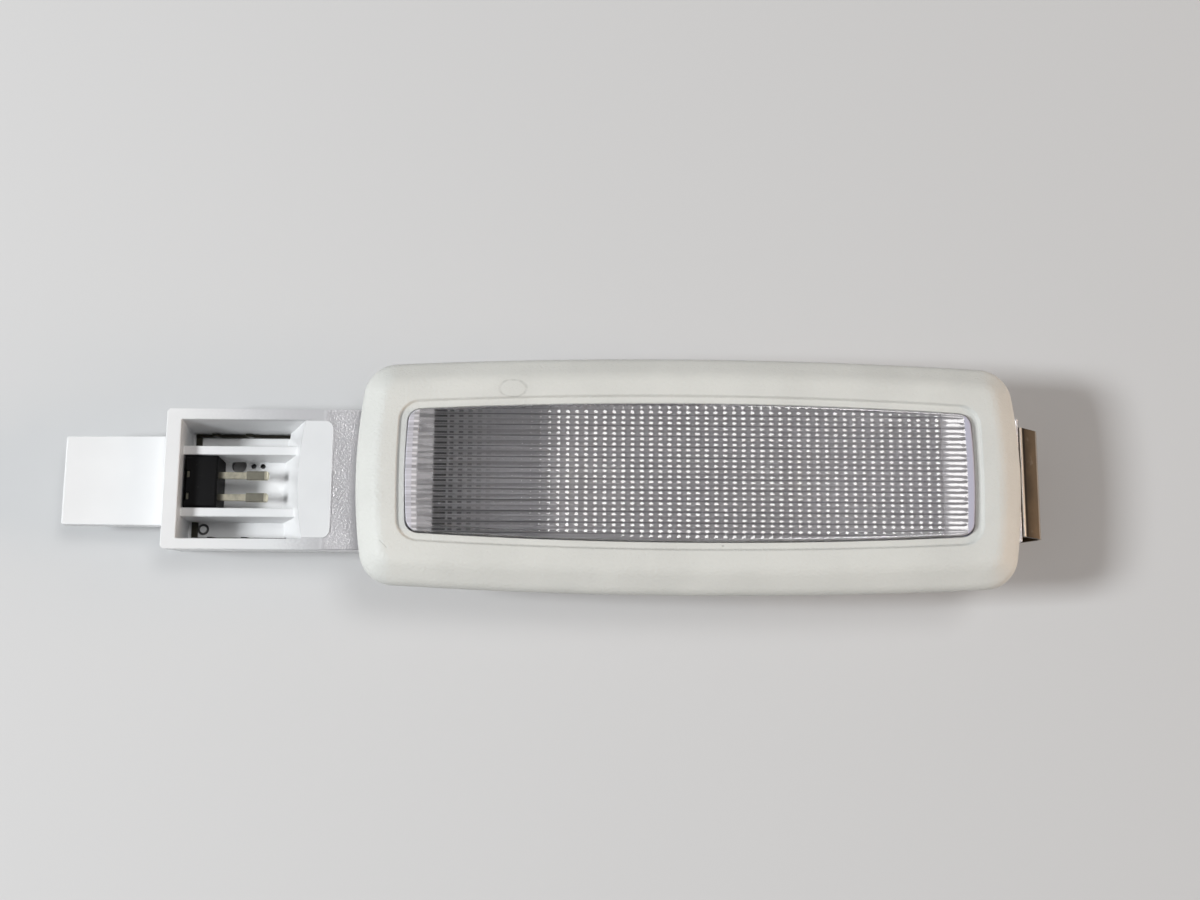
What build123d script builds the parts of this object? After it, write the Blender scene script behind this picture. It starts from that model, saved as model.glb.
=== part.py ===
from build123d import *
import os

# A roof-lining lamp lying on its back: X runs along it, Y across it and Z up, out of its lens.
# Z 0 is the plane on which the bezel's skirt meets the roof lining. Sizes are in millimetres.

# Bezel
BEZEL_END_BORDER = 8.05
BEZEL_SIDE_BORDER = 8.0
BEZEL_END_BOW = 1.75
BEZEL_SIDE_BOW = 1.5
BEZEL_CORNER_RADIUS = 5.5
SKIRT_HEIGHT = 1.5
SLOPE_WIDTH = 3.4
BEZEL_HEIGHT = 3.9
BEZEL_WALL = 1.8
SHOULDER_RADIUS = 2.4
BROW_RADIUS = 2.6
BAND_LAP = 1.2
HOLLOW_SKIRT = 0.75
LIP_WIDTH = 1.0
LIP_DROP = 0.45
WINDOW_GAP = 0.15
HOOK_SPACING = 50.0
HOOK_LENGTH = 8.0
HOOK_THICKNESS = 1.2
HOOK_BITE = 0.5
HOOK_LEAD = 1.3

# Lens
LENS_HALF_LENGTH = 44.2
LENS_HALF_WIDTH = 10.85
LENS_END_BOW = 0.35
LENS_SIDE_BOW = 1.28
LENS_CORNER_RADIUS = 2.0
LENS_PROUD = 0.75
LENS_EDGE_BEVEL = 0.4
LENS_WALL = 1.3
LENS_FACE = 1.6
LENS_FLANGE = 1.2
FLUTE_PITCH = 1.7
FLUTE_HEIGHT = 0.22
REED_PITCH = 1.45
REED_COUNT = 54
REED_HEIGHT = 0.1

# Housing: reflector pan
HOUSING_DEPTH = 15.6
HOUSING_WALL = 1.6
RIM_TOP = 1.2
PAN_GROW = 1.2
PAN_DRAFT = 3.0
FLANGE_GROW = 2.7
FLANGE_THICKNESS = 1.0
REFLECTOR_MOUTH = 0.4
REFLECTOR_WAIST_INSET = 2.95
REFLECTOR_FLOOR_INSET = 5.65
REFLECTOR_FACET = 3.5
MIN_CORNER = 0.6

# Housing: connector socket with its pocket, ribs and tongue
SOCKET_REACH = 31.35
SOCKET_SIDE_STEP = 0.57
SOCKET_DROP = 5.0
SOCKET_TAPER = 1.1
SOCKET_END_WALL = 2.4
SOCKET_SIDE_WALL = 1.77
SOCKET_CORNER = 0.5
POCKET_FLARE = 0.7
POCKET_LENGTH = 20.0
RAMP_RUN = 4.2
RAMP_BOW = 0.9
RIB_PITCH = 10.14
RIB_THICKNESS = 1.45
RIB_DROP = 2.5
PAD_LENGTH = 4.4
PAD_HALF_WIDTH = 9.5
PAD_CORNER = 1.3
PAD_HEIGHT = 0.25
CORE_GAP = 2.0
CORE_SIDE_GAP = 0.45
CORE_ROOF = 1.8
CORE_RIB = 1.4
TONGUE_LENGTH = 16.6
TONGUE_HALF_WIDTH = 7.2
TONGUE_FLARE = 0.13
TONGUE_THICKNESS = 2.0
TONGUE_DROP = 7.5
TONGUE_EDGE = 0.3
DRAIN_HOLE_RADIUS = 1.2
DRAIN_HOLE_REACH = 7.8
DRAIN_HOLE_SIDE = 3.75
VENT_RADIUS = 0.42
VENT_REACHES = (10.2, 11.7)
VENT_SIDE = 3.7
EJECTOR_OUTER_RADIUS = 0.95
EJECTOR_INNER_RADIUS = 0.55
EJECTOR_DEPTH = 0.5
EJECTOR_REACH = 2.4
EJECTOR_SIDE = 6.9

# Terminal block and contacts
BLOCK_LENGTH = 5.4
BLOCK_TOP_DROP = 2.6
BLOCK_CHAMFER = 0.3
BLOCK_PLAY = 0.1
BLOCK_END_GAP = 0.2
TAIL_INSET = 0.4
PIN_PITCH = 3.6
PIN_OFFSET = -0.6
PIN_DROP = 3.75
PIN_REACH = 8.1
PIN_WIDTH = 1.05
PIN_THICKNESS = 0.8
TAB_LENGTH = 3.6
TAB_WIDTH = 1.4
TAB_BEVEL = 0.4
STRIP_THICKNESS = 0.5
RAIL_HEIGHT = 0.8
RAIL_WALL_GAP = 0.1
LINK_WIDTH = 1.0
BARB_LENGTH = 0.9
BARB_LEAN = 0.8
BARB_ROOT = 0.4
BARB_SPOTS = (4.2, 9.7)
SLOT_PLAY = 0.15
CRADLE_WIDTH = 7.0
CRADLE_HOLE_PLAY = 0.1
CRADLE_FROM_TIP = 0.55
CRADLE_TOP_OVER_AXIS = 3.4

# Tubular bulb with a pointed cap at each end
BULB_LENGTH = 36.0
BULB_AXIS_DROP = 6.0
GLASS_RADIUS = 4.5
GLASS_WALL = 0.6
GLASS_NECK_RADIUS = 2.9
CAP_RADIUS = 3.5
CAP_LENGTH = 6.5
CAP_WALL = 0.5
CAP_TIP_RADIUS = 1.1
CAP_CONE_LENGTH = 2.2
FILAMENT_RADIUS = 0.2

# Spring clip and its seat at the other end
CLIP_HALF_WIDTH = 8.8
CLIP_THICKNESS = 0.5
CLIP_KNEE_PROUD = 4.49
CLIP_KNEE_DROP = 5.2
CLIP_TIP_PROUD = 0.85
CLIP_TIP_DROP = 2.0
CLIP_BEND_RADIUS = 0.9
CLIP_BEND_RUN = 1.75
CLIP_LEG_HEIGHT = 4.8
CLIP_FOOT_CLEARANCE = 1.0
CLIP_SIDE_PLAY = 0.3
SEAT_GAP = 1.5
SEAT_SLOT = 1.8
SEAT_BRIDGE = 1.0
SEAT_BRIDGE_FOOT = 2.2
CHEEK = 0.8
ROOF_PROUD = 0.1
ROOF_THICKNESS = 1.0
ROOF_DROP = 0.1

# Levels and places worked out from the sizes above
BEZEL_HALF_LENGTH = LENS_HALF_LENGTH + BEZEL_END_BORDER
BEZEL_HALF_WIDTH = LENS_HALF_WIDTH + BEZEL_SIDE_BORDER
SOCKET_END = BEZEL_HALF_LENGTH + SOCKET_REACH
SOCKET_HALF_WIDTH = LENS_HALF_WIDTH + SOCKET_SIDE_STEP
CLIP_KNEE_CORNER = BEZEL_HALF_LENGTH + CLIP_KNEE_PROUD
CLIP_TIP_REACH = BEZEL_HALF_LENGTH + CLIP_TIP_PROUD
ROOF_REACH = BEZEL_HALF_LENGTH + ROOF_PROUD
SEAT_WALL_REACH = LENS_HALF_LENGTH + PAN_GROW + SEAT_GAP
BACK_Z = -HOUSING_DEPTH
FLOOR_Z = BACK_Z + HOUSING_WALL
SOCKET_Z = -SOCKET_DROP
PLATE_Z = BEZEL_HEIGHT - BEZEL_WALL
LIP_Z = BEZEL_HEIGHT - LIP_DROP
LENS_EDGE_Z = LIP_Z + LENS_PROUD
BULB_Z = -BULB_AXIS_DROP
POCKET_LEFT = -SOCKET_END + SOCKET_END_WALL
POCKET_RIGHT = POCKET_LEFT + POCKET_LENGTH
POCKET_HALF_WIDTH = SOCKET_HALF_WIDTH - SOCKET_SIDE_WALL
POCKET_FLOOR_HALF_WIDTH = POCKET_HALF_WIDTH - POCKET_FLARE
RAMP_FOOT = POCKET_RIGHT - RAMP_RUN
BLOCK_LEFT = POCKET_LEFT + BLOCK_END_GAP
BLOCK_RIGHT = BLOCK_LEFT + BLOCK_LENGTH
BLOCK_HALF_WIDTH = (RIB_PITCH - RIB_THICKNESS) / 2 - BLOCK_PLAY
BLOCK_TOP = SOCKET_Z - BLOCK_TOP_DROP
PIN_TOP = SOCKET_Z - PIN_DROP
TAIL_LEFT = BLOCK_LEFT + TAIL_INSET
RAIL_OUTER = POCKET_FLOOR_HALF_WIDTH - RAIL_WALL_GAP
RAIL_INNER = RAIL_OUTER - STRIP_THICKNESS
RAIL_TOP = FLOOR_Z + RAIL_HEIGHT
PAN_END = LENS_HALF_LENGTH + PAN_GROW
REFLECTOR_WAIST = LENS_HALF_WIDTH - REFLECTOR_WAIST_INSET
REFLECTOR_FLOOR = LENS_HALF_WIDTH - REFLECTOR_FLOOR_INSET
CORE_HALF_WIDTH = RAIL_OUTER + CORE_SIDE_GAP
CORE_LEFT = POCKET_RIGHT + CORE_GAP
CORE_RIGHT = -PAN_END - CORE_GAP
CRADLE_X = BULB_LENGTH / 2 - CRADLE_FROM_TIP
CLIP_LEG_X = SEAT_WALL_REACH + SEAT_SLOT - STRIP_THICKNESS - CLIP_THICKNESS / 2
CLIP_FOOT_Z = BACK_Z + CLIP_FOOT_CLEARANCE
SEAT_HALF_WIDTH = CLIP_HALF_WIDTH + CLIP_SIDE_PLAY
BIG = 200.0


def bowed_face(half_length, half_width, end_bow, side_bow, corner_radius, grow, z):
    """Oblong with bowed sides and rounded corners, grown or shrunk evenly, lying at height z."""
    x_mid = half_length + grow
    y_mid = half_width + grow
    x_corner = x_mid - end_bow
    y_corner = y_mid - side_bow
    sides = [
        ThreePointArc((-x_corner, -y_corner), (0, -y_mid), (x_corner, -y_corner)),
        ThreePointArc((x_corner, -y_corner), (x_mid, 0), (x_corner, y_corner)),
        ThreePointArc((x_corner, y_corner), (0, y_mid), (-x_corner, y_corner)),
        ThreePointArc((-x_corner, y_corner), (-x_mid, 0), (-x_corner, -y_corner)),
    ]
    face = make_face(sides)
    radius = max(corner_radius + grow, MIN_CORNER)
    return Pos(0, 0, z) * fillet(face.vertices(), radius)


def bezel_face(grow, z):
    return bowed_face(BEZEL_HALF_LENGTH, BEZEL_HALF_WIDTH, BEZEL_END_BOW, BEZEL_SIDE_BOW,
                      BEZEL_CORNER_RADIUS, grow, z)


def lens_face(grow, z):
    return bowed_face(LENS_HALF_LENGTH, LENS_HALF_WIDTH, LENS_END_BOW, LENS_SIDE_BOW,
                      LENS_CORNER_RADIUS, grow, z)


def block(x0, x1, y0, y1, z0, z1):
    """Box between two corners."""
    size = Box(x1 - x0, y1 - y0, z1 - z0)
    return Pos((x0 + x1) / 2, (y0 + y1) / 2, (z0 + z1) / 2) * size


def rise(face, height):
    return extrude(face, height, dir=(0, 0, 1))


def edges_at(shape, z):
    return shape.edges().filter_by_position(Axis.Z, z - 0.01, z + 0.01)


def flange_reach(x):
    """Half width of the housing's flange at a place along its bowed side."""
    corner = LENS_HALF_LENGTH + FLANGE_GROW - LENS_END_BOW
    return LENS_HALF_WIDTH + FLANGE_GROW - LENS_SIDE_BOW * (x / corner) ** 2


def bezel_section():
    """Section of the bezel's outer band, drawn inwards from its edge: skirt, shoulder, slope and brow."""
    reach = SLOPE_WIDTH + BAND_LAP
    section = make_face(Polyline(
        (0, 0), (0, SKIRT_HEIGHT), (SLOPE_WIDTH, BEZEL_HEIGHT), (reach, BEZEL_HEIGHT), (reach, PLATE_Z),
        (SLOPE_WIDTH, PLATE_Z), (BEZEL_WALL, HOLLOW_SKIRT), (BEZEL_WALL, 0), close=True))
    shoulder = section.vertices().sort_by_distance((0, SKIRT_HEIGHT))[0]
    section = fillet(shoulder, SHOULDER_RADIUS)
    brow = section.vertices().sort_by_distance((SLOPE_WIDTH, BEZEL_HEIGHT))[0]
    return fillet(brow, BROW_RADIUS)


def make_bezel():
    outline = bezel_face(0, 0).face().outer_wire()
    along = outline % 0
    inwards = Vector(0, 0, 1).cross(along)
    band = sweep(Plane(outline @ 0, x_dir=inwards, z_dir=along) * bezel_section(), path=outline)
    plate = rise(bezel_face(-SLOPE_WIDTH - BAND_LAP / 2, PLATE_Z), BEZEL_WALL)
    window = rise(lens_face(WINDOW_GAP, 0), 2 * BEZEL_HEIGHT)
    lip = rise(lens_face(WINDOW_GAP + LIP_WIDTH, LIP_Z), 2 * LIP_DROP)
    bezel = band + plate - window - lip
    for end in (-1, 1):
        hook = snap_hook(end * HOOK_SPACING / 2)
        bezel += hook
        bezel += mirror(hook, about=Plane.XZ)
    return bezel


def snap_hook(x):
    """Snap hook hanging from the bezel's plate, with its nose under the housing's flange."""
    inner = flange_reach(abs(x)) + SLOT_PLAY
    nose_top = RIM_TOP - FLANGE_THICKNESS - SLOT_PLAY
    foot = nose_top - HOOK_LEAD
    profile = Polyline((inner, PLATE_Z), (inner, nose_top), (inner - HOOK_BITE, nose_top - SLOT_PLAY),
                       (inner, foot), (inner + HOOK_THICKNESS, foot), (inner + HOOK_THICKNESS, PLATE_Z),
                       close=True)
    hook = extrude(Plane.YZ * make_face(profile), HOOK_LENGTH / 2, both=True)
    return Pos(x, 0, 0) * hook


def make_lens():
    body = rise(lens_face(0, RIM_TOP), LENS_EDGE_Z - RIM_TOP)
    body = chamfer(edges_at(body, LENS_EDGE_Z), LENS_EDGE_BEVEL)
    flange = rise(lens_face(LENS_FLANGE, RIM_TOP), PLATE_Z - RIM_TOP)
    tray = rise(lens_face(-LENS_WALL, RIM_TOP), LENS_EDGE_Z) & fluted_ceiling()
    return body + flange - tray - reed_gaps()


def reed_gaps():
    """Space over the reeds that cross the lens's face inside its smooth rim."""
    valley = LENS_EDGE_Z - REED_HEIGHT
    reach = REED_COUNT * REED_PITCH / 2
    starts = [i * REED_PITCH - reach for i in range(REED_COUNT)]
    reeds = [SagittaArc((x, valley), (x + REED_PITCH, valley), REED_HEIGHT) for x in starts]
    over = LENS_EDGE_Z + REED_HEIGHT
    frame = Polyline((reach, valley), (reach, over), (-reach, over), (-reach, valley))
    gaps = extrude(Plane.XZ * make_face(reeds + [frame]), BIG, both=True)
    return gaps & rise(lens_face(-LENS_WALL, RIM_TOP), LENS_EDGE_Z)


def fluted_ceiling():
    """Block whose wavy top is the underside of the lens: smooth flutes that run lengthwise."""
    level = LENS_EDGE_Z - LENS_FACE
    half_wave = FLUTE_PITCH / 2
    count = int(LENS_HALF_WIDTH / half_wave) + 2
    waves = []
    for i in range(-count, count):
        sag = FLUTE_HEIGHT / 2 if i % 2 else -FLUTE_HEIGHT / 2
        waves.append(SagittaArc((i * half_wave, level), ((i + 1) * half_wave, level), sag))
    reach = count * half_wave
    frame = Polyline((reach, level), (reach, -BIG), (-reach, -BIG), (-reach, level))
    return extrude(Plane.YZ * make_face(waves + [frame]), BIG, both=True)


def make_housing():
    pan = extrude(lens_face(PAN_GROW, RIM_TOP), RIM_TOP - BACK_Z, dir=(0, 0, -1), taper=PAN_DRAFT)
    flange = rise(lens_face(FLANGE_GROW, RIM_TOP - FLANGE_THICKNESS), FLANGE_THICKNESS)
    body = pan + flange + socket_body() + clip_seat() - reflector() - pocket() - core() + ribs() + tongue()
    for side in (1, -1):
        body -= contact_channel(side)
    return body - floor_marks()


def reflector():
    """Space inside the reflector: a trough whose sides turn in sharply near its floor."""
    mouth = lens_face(-REFLECTOR_MOUTH, RIM_TOP)
    well = extrude(mouth, RIM_TOP - BACK_Z, dir=(0, 0, -1), taper=PAN_DRAFT)
    waist_z = FLOOR_Z + REFLECTOR_FACET
    section = Polyline((-LENS_HALF_WIDTH, RIM_TOP), (-REFLECTOR_WAIST, waist_z), (-REFLECTOR_FLOOR, FLOOR_Z),
                       (REFLECTOR_FLOOR, FLOOR_Z), (REFLECTOR_WAIST, waist_z), (LENS_HALF_WIDTH, RIM_TOP),
                       close=True)
    return well & extrude(Plane.YZ * make_face(section), BIG, both=True)


def tapered_block(x0, x1, half_width, taper, z0, z1):
    """Block along X whose two long sides draw in towards its foot."""
    middle = (x0 + x1) / 2
    foot = Pos(middle, 0, z0) * Rectangle(x1 - x0, 2 * (half_width - taper))
    top = Pos(middle, 0, z1) * Rectangle(x1 - x0, 2 * half_width)
    return loft([foot, top], ruled=True)


def socket_body():
    shell = tapered_block(-SOCKET_END, -LENS_HALF_LENGTH, SOCKET_HALF_WIDTH, SOCKET_TAPER, BACK_Z, SOCKET_Z)
    corners = shell.edges().group_by(Axis.X)[0].filter_by(lambda edge: abs(edge.tangent_at(0.5).Z) > 0.5)
    shell = chamfer(corners, SOCKET_CORNER)
    pad_length = PAD_LENGTH + RAMP_BOW
    pad_middle = POCKET_RIGHT + PAD_LENGTH - pad_length / 2
    pad = Pos(pad_middle, 0, SOCKET_Z) * Rectangle(pad_length, 2 * PAD_HALF_WIDTH)
    pad = fillet(pad.vertices().group_by(Axis.X)[-1], PAD_CORNER)
    return shell + rise(pad, PAD_HEIGHT)


def pocket():
    """Space of the connector pocket: flared sides, and a bowed ramp at its inner end."""
    half = POCKET_HALF_WIDTH
    top = make_face([
        Line((POCKET_LEFT, half), (POCKET_LEFT, -half)),
        Line((POCKET_LEFT, -half), (POCKET_RIGHT, -half)),
        ThreePointArc((POCKET_RIGHT, -half), (POCKET_RIGHT - RAMP_BOW, 0), (POCKET_RIGHT, half)),
        Line((POCKET_RIGHT, half), (POCKET_LEFT, half)),
    ])
    half = POCKET_FLOOR_HALF_WIDTH
    foot = make_face([
        Line((POCKET_LEFT, half), (POCKET_LEFT, -half)),
        Line((POCKET_LEFT, -half), (RAMP_FOOT, -half)),
        ThreePointArc((RAMP_FOOT, -half), (RAMP_FOOT - RAMP_BOW / 2, 0), (RAMP_FOOT, half)),
        Line((RAMP_FOOT, half), (POCKET_LEFT, half)),
    ])
    space = loft([Pos(0, 0, FLOOR_Z) * foot, Pos(0, 0, SOCKET_Z) * top], ruled=True)
    return space + rise(Pos(0, 0, SOCKET_Z) * top, PAD_HEIGHT + BEZEL_HEIGHT)


def ribs():
    """Two ribs along the pocket, each notched at its foot for a contact's link."""
    made = Part()
    for side in (1, -1):
        middle = side * RIB_PITCH / 2
        low, high = middle - RIB_THICKNESS / 2, middle + RIB_THICKNESS / 2
        made += block(POCKET_LEFT, POCKET_RIGHT, low, high, FLOOR_Z, SOCKET_Z - RIB_DROP)
    notch = block(POCKET_LEFT, TAIL_LEFT + LINK_WIDTH + SLOT_PLAY, -SOCKET_HALF_WIDTH, SOCKET_HALF_WIDTH,
                  FLOOR_Z, FLOOR_Z + STRIP_THICKNESS + SLOT_PLAY)
    return (made & pocket()) - notch


def core():
    """Space cored out of the back between the pocket and the reflector, with a rib down its middle."""
    top = SOCKET_Z - CORE_ROOF
    space = block(CORE_LEFT, CORE_RIGHT, -CORE_HALF_WIDTH, CORE_HALF_WIDTH, BACK_Z, top)
    return space - block(CORE_LEFT, CORE_RIGHT, -CORE_RIB / 2, CORE_RIB / 2, BACK_Z, top)


def tongue():
    root = -SOCKET_END + SOCKET_END_WALL / 2
    tip = -SOCKET_END - TONGUE_LENGTH
    wide = TONGUE_HALF_WIDTH + TONGUE_FLARE
    outline = Polyline((root, wide), (root, -wide), (tip, -TONGUE_HALF_WIDTH), (tip, TONGUE_HALF_WIDTH),
                       close=True)
    plate = rise(Pos(0, 0, -TONGUE_DROP - TONGUE_THICKNESS) * make_face(outline), TONGUE_THICKNESS)
    return chamfer(plate.edges().group_by(Axis.X)[0], TONGUE_EDGE)


def contact_channel(side):
    """Room for one contact: its slot at the ramp's foot, its groove in the back, its cradle's slot."""
    low, high = sorted((side * (RAIL_INNER - SLOT_PLAY), side * (RAIL_OUTER + SLOT_PLAY)))
    end = -side * (CRADLE_X - STRIP_THICKNESS / 2 - SLOT_PLAY)
    cradle_low, cradle_high = sorted((end, end - side * (STRIP_THICKNESS + 2 * SLOT_PLAY)))
    top = RAIL_TOP + SLOT_PLAY
    tunnel = block(RAMP_FOOT - RAMP_BOW, CORE_LEFT, low, high, FLOOR_Z, top)
    groove = block(CORE_RIGHT, max(cradle_low, cradle_high), low, high, BACK_Z, top)
    inner, outer = sorted((-side * (CRADLE_WIDTH / 2 + SLOT_PLAY), side * (RAIL_OUTER + SLOT_PLAY)))
    slit = block(cradle_low, cradle_high, inner, outer, BACK_Z, top)
    return tunnel + groove + slit


def floor_marks():
    """Three small holes beside the far rib and a ring left by an ejector pin."""
    depth = 2 * HOUSING_WALL
    drain = Cylinder(DRAIN_HOLE_RADIUS, depth)
    marks = Pos(POCKET_LEFT + DRAIN_HOLE_REACH, DRAIN_HOLE_SIDE, FLOOR_Z - depth / 2) * drain
    for reach in VENT_REACHES:
        marks += Pos(POCKET_LEFT + reach, VENT_SIDE, FLOOR_Z - depth / 2) * Cylinder(VENT_RADIUS, depth)
    groove = 2 * EJECTOR_DEPTH
    ring = Cylinder(EJECTOR_OUTER_RADIUS, groove) - Cylinder(EJECTOR_INNER_RADIUS, groove)
    return marks + Pos(POCKET_LEFT + EJECTOR_REACH, -EJECTOR_SIDE, FLOOR_Z) * ring


def clip_seat():
    """End block that holds the clip: cheeks beside it, a roof over it, a bridge that it hooks round."""
    half = SEAT_HALF_WIDTH + CHEEK
    roof_z = -ROOF_DROP
    body = block(LENS_HALF_LENGTH - HOUSING_WALL, ROOF_REACH, -half, half, BACK_Z, roof_z)
    under_roof = roof_z - ROOF_THICKNESS
    body -= block(SEAT_WALL_REACH, BIG, -SEAT_HALF_WIDTH, SEAT_HALF_WIDTH, BACK_Z - BIG, under_roof)
    bridge = SEAT_WALL_REACH + SEAT_SLOT
    return body + block(bridge, bridge + SEAT_BRIDGE, -half, half, BACK_Z + SEAT_BRIDGE_FOOT, roof_z)


def pin_y(side):
    return PIN_OFFSET + side * PIN_PITCH / 2


def make_terminal_block():
    body = block(BLOCK_LEFT, BLOCK_RIGHT, -BLOCK_HALF_WIDTH, BLOCK_HALF_WIDTH, FLOOR_Z, BLOCK_TOP)
    body = chamfer(body.edges().group_by(Axis.Z)[-1], BLOCK_CHAMFER)
    play = BLOCK_PLAY / 2
    half = PIN_WIDTH / 2 + play
    for side in (1, -1):
        y = pin_y(side)
        low, high = sorted((y - side * half, side * SOCKET_HALF_WIDTH))
        body -= block(TAIL_LEFT - play, BIG, y - half, y + half,
                      PIN_TOP - PIN_THICKNESS - play, PIN_TOP + play)
        body -= block(TAIL_LEFT - play, TAIL_LEFT + STRIP_THICKNESS + play, y - half, y + half,
                      FLOOR_Z, BLOCK_TOP + play)
        body -= block(TAIL_LEFT - play, TAIL_LEFT + LINK_WIDTH + play, low, high,
                      FLOOR_Z, FLOOR_Z + STRIP_THICKNESS + play)
    return body


def make_contact(side):
    """One stamped strip: connector pin, tail, link, barbed rail along the wall and bulb cradle."""
    y = pin_y(side)
    tip = BLOCK_RIGHT + PIN_REACH
    half = PIN_WIDTH / 2
    pin = block(TAIL_LEFT, tip - TAB_LENGTH, y - half, y + half, PIN_TOP - PIN_THICKNESS, PIN_TOP)
    half = TAB_WIDTH / 2
    tab = block(tip - TAB_LENGTH, tip, y - half, y + half, PIN_TOP - PIN_THICKNESS, PIN_TOP)
    tab = chamfer(tab.faces().sort_by(Axis.X)[-1].edges(), min(TAB_BEVEL, PIN_THICKNESS / 3))
    half = PIN_WIDTH / 2
    tail = block(TAIL_LEFT, TAIL_LEFT + STRIP_THICKNESS, y - half, y + half,
                 FLOOR_Z, BLOCK_TOP - BLOCK_CHAMFER)
    low, high = sorted((y - side * half, side * RAIL_OUTER))
    link = block(TAIL_LEFT, TAIL_LEFT + LINK_WIDTH, low, high, FLOOR_Z, FLOOR_Z + STRIP_THICKNESS)
    cradle_middle = -side * CRADLE_X
    low, high = sorted((side * RAIL_INNER, side * RAIL_OUTER))
    rail = block(TAIL_LEFT, cradle_middle + STRIP_THICKNESS / 2, low, high, FLOOR_Z, RAIL_TOP)
    for spot in BARB_SPOTS:
        rail += barb(POCKET_LEFT + spot, low, high)
    return pin + tab + tail + link + rail + cradle(side, cradle_middle)


def barb(x, low, high):
    """Lanced tooth that leans back from the rail's upper edge."""
    foot = RAIL_TOP - BARB_ROOT
    top = RAIL_TOP + BARB_LENGTH
    outline = Polyline((x, foot), (x + BARB_LENGTH, foot), (x + BARB_LENGTH - BARB_LEAN, top),
                       (x - BARB_LEAN, top), close=True)
    tooth = extrude(Plane.XZ * make_face(outline), (high - low) / 2, both=True)
    return Pos(0, (low + high) / 2, 0) * tooth


def cradle(side, middle):
    """Upright blade with a hole for the bulb's pointed cap, and the arm that joins it to the rail."""
    low, high = middle - STRIP_THICKNESS / 2, middle + STRIP_THICKNESS / 2
    half = CRADLE_WIDTH / 2
    blade = block(low, high, -half, half, FLOOR_Z, BULB_Z + CRADLE_TOP_OVER_AXIS)
    along = (CRADLE_FROM_TIP + STRIP_THICKNESS / 2) / CAP_CONE_LENGTH
    hole = CAP_TIP_RADIUS + along * (CAP_RADIUS - CAP_TIP_RADIUS) + CRADLE_HOLE_PLAY
    blade -= Pos(middle, 0, BULB_Z) * Rot(0, 90, 0) * Cylinder(hole, 4 * STRIP_THICKNESS)
    arm_low, arm_high = sorted((0, side * RAIL_OUTER))
    return blade + block(low, high, arm_low, arm_high, FLOOR_Z, RAIL_TOP)


def turned(points):
    """Solid turned about the bulb's axis from an outline of (place along it, radius)."""
    outline = Plane.XZ * make_face(Polyline(*points, close=True))
    return Pos(0, 0, BULB_Z) * revolve(outline, Axis.X)


def make_bulb_glass():
    neck = BULB_LENGTH / 2 - CAP_CONE_LENGTH - CAP_WALL
    shoulder = BULB_LENGTH / 2 - CAP_CONE_LENGTH - CAP_LENGTH
    round_off = GLASS_RADIUS - GLASS_NECK_RADIUS
    body = shoulder - round_off
    inner_body = GLASS_RADIUS - GLASS_WALL
    inner_neck = GLASS_NECK_RADIUS - GLASS_WALL
    return turned([
        (-neck, inner_neck), (-neck, GLASS_NECK_RADIUS), (-shoulder, GLASS_NECK_RADIUS),
        (-body, GLASS_RADIUS), (body, GLASS_RADIUS), (shoulder, GLASS_NECK_RADIUS),
        (neck, GLASS_NECK_RADIUS), (neck, inner_neck), (shoulder, inner_neck),
        (body, inner_body), (-body, inner_body), (-shoulder, inner_neck)])


def make_bulb_cap(end):
    mouth = BULB_LENGTH / 2 - CAP_CONE_LENGTH - CAP_LENGTH
    cone = mouth + CAP_LENGTH
    bore = GLASS_NECK_RADIUS + BLOCK_PLAY
    points = [(mouth, bore), (mouth, CAP_RADIUS), (cone, CAP_RADIUS), (BULB_LENGTH / 2, CAP_TIP_RADIUS),
              (BULB_LENGTH / 2, 0), (cone - CAP_WALL, 0), (cone - CAP_WALL, bore)]
    return turned([(end * x, r) for x, r in points])


def make_filament():
    reach = BULB_LENGTH / 2 - CAP_CONE_LENGTH - CAP_WALL
    return Pos(0, 0, BULB_Z) * Rot(0, 90, 0) * Cylinder(FILAMENT_RADIUS, 2 * reach)


def make_spring_clip():
    foot = CLIP_FOOT_Z + CLIP_THICKNESS / 2
    path = FilletPolyline((CLIP_LEG_X, foot + CLIP_LEG_HEIGHT), (CLIP_LEG_X, foot),
                          (CLIP_LEG_X + CLIP_BEND_RUN, foot), (CLIP_KNEE_CORNER, -CLIP_KNEE_DROP),
                          (CLIP_TIP_REACH, -CLIP_TIP_DROP), radius=CLIP_BEND_RADIUS)
    sheet = make_face(path.offset_2d(CLIP_THICKNESS / 2, side=Side.BOTH))
    return extrude(Plane.XZ * sheet, CLIP_HALF_WIDTH, both=True)


def make_parts():
    return {
        "bezel": make_bezel(),
        "lens": make_lens(),
        "housing": make_housing(),
        "terminal_block": make_terminal_block(),
        "contact_far": make_contact(1),
        "contact_near": make_contact(-1),
        "bulb_glass": make_bulb_glass(),
        "bulb_cap_left": make_bulb_cap(-1),
        "bulb_cap_right": make_bulb_cap(1),
        "bulb_filament": make_filament(),
        "spring_clip": make_spring_clip(),
    }


os.makedirs("parts", exist_ok=True)
for name, shape in make_parts().items():
    export_step(shape, f"parts/{name}.step")
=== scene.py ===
from math import atan2, hypot, pi, radians, sin, sqrt, tan

import bmesh
import bpy
import numpy as np
from bpy.props import FloatProperty, FloatVectorProperty, IntProperty, PointerProperty
from bpy.types import Operator, Panel, PropertyGroup
from mathutils import Matrix, Vector


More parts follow.
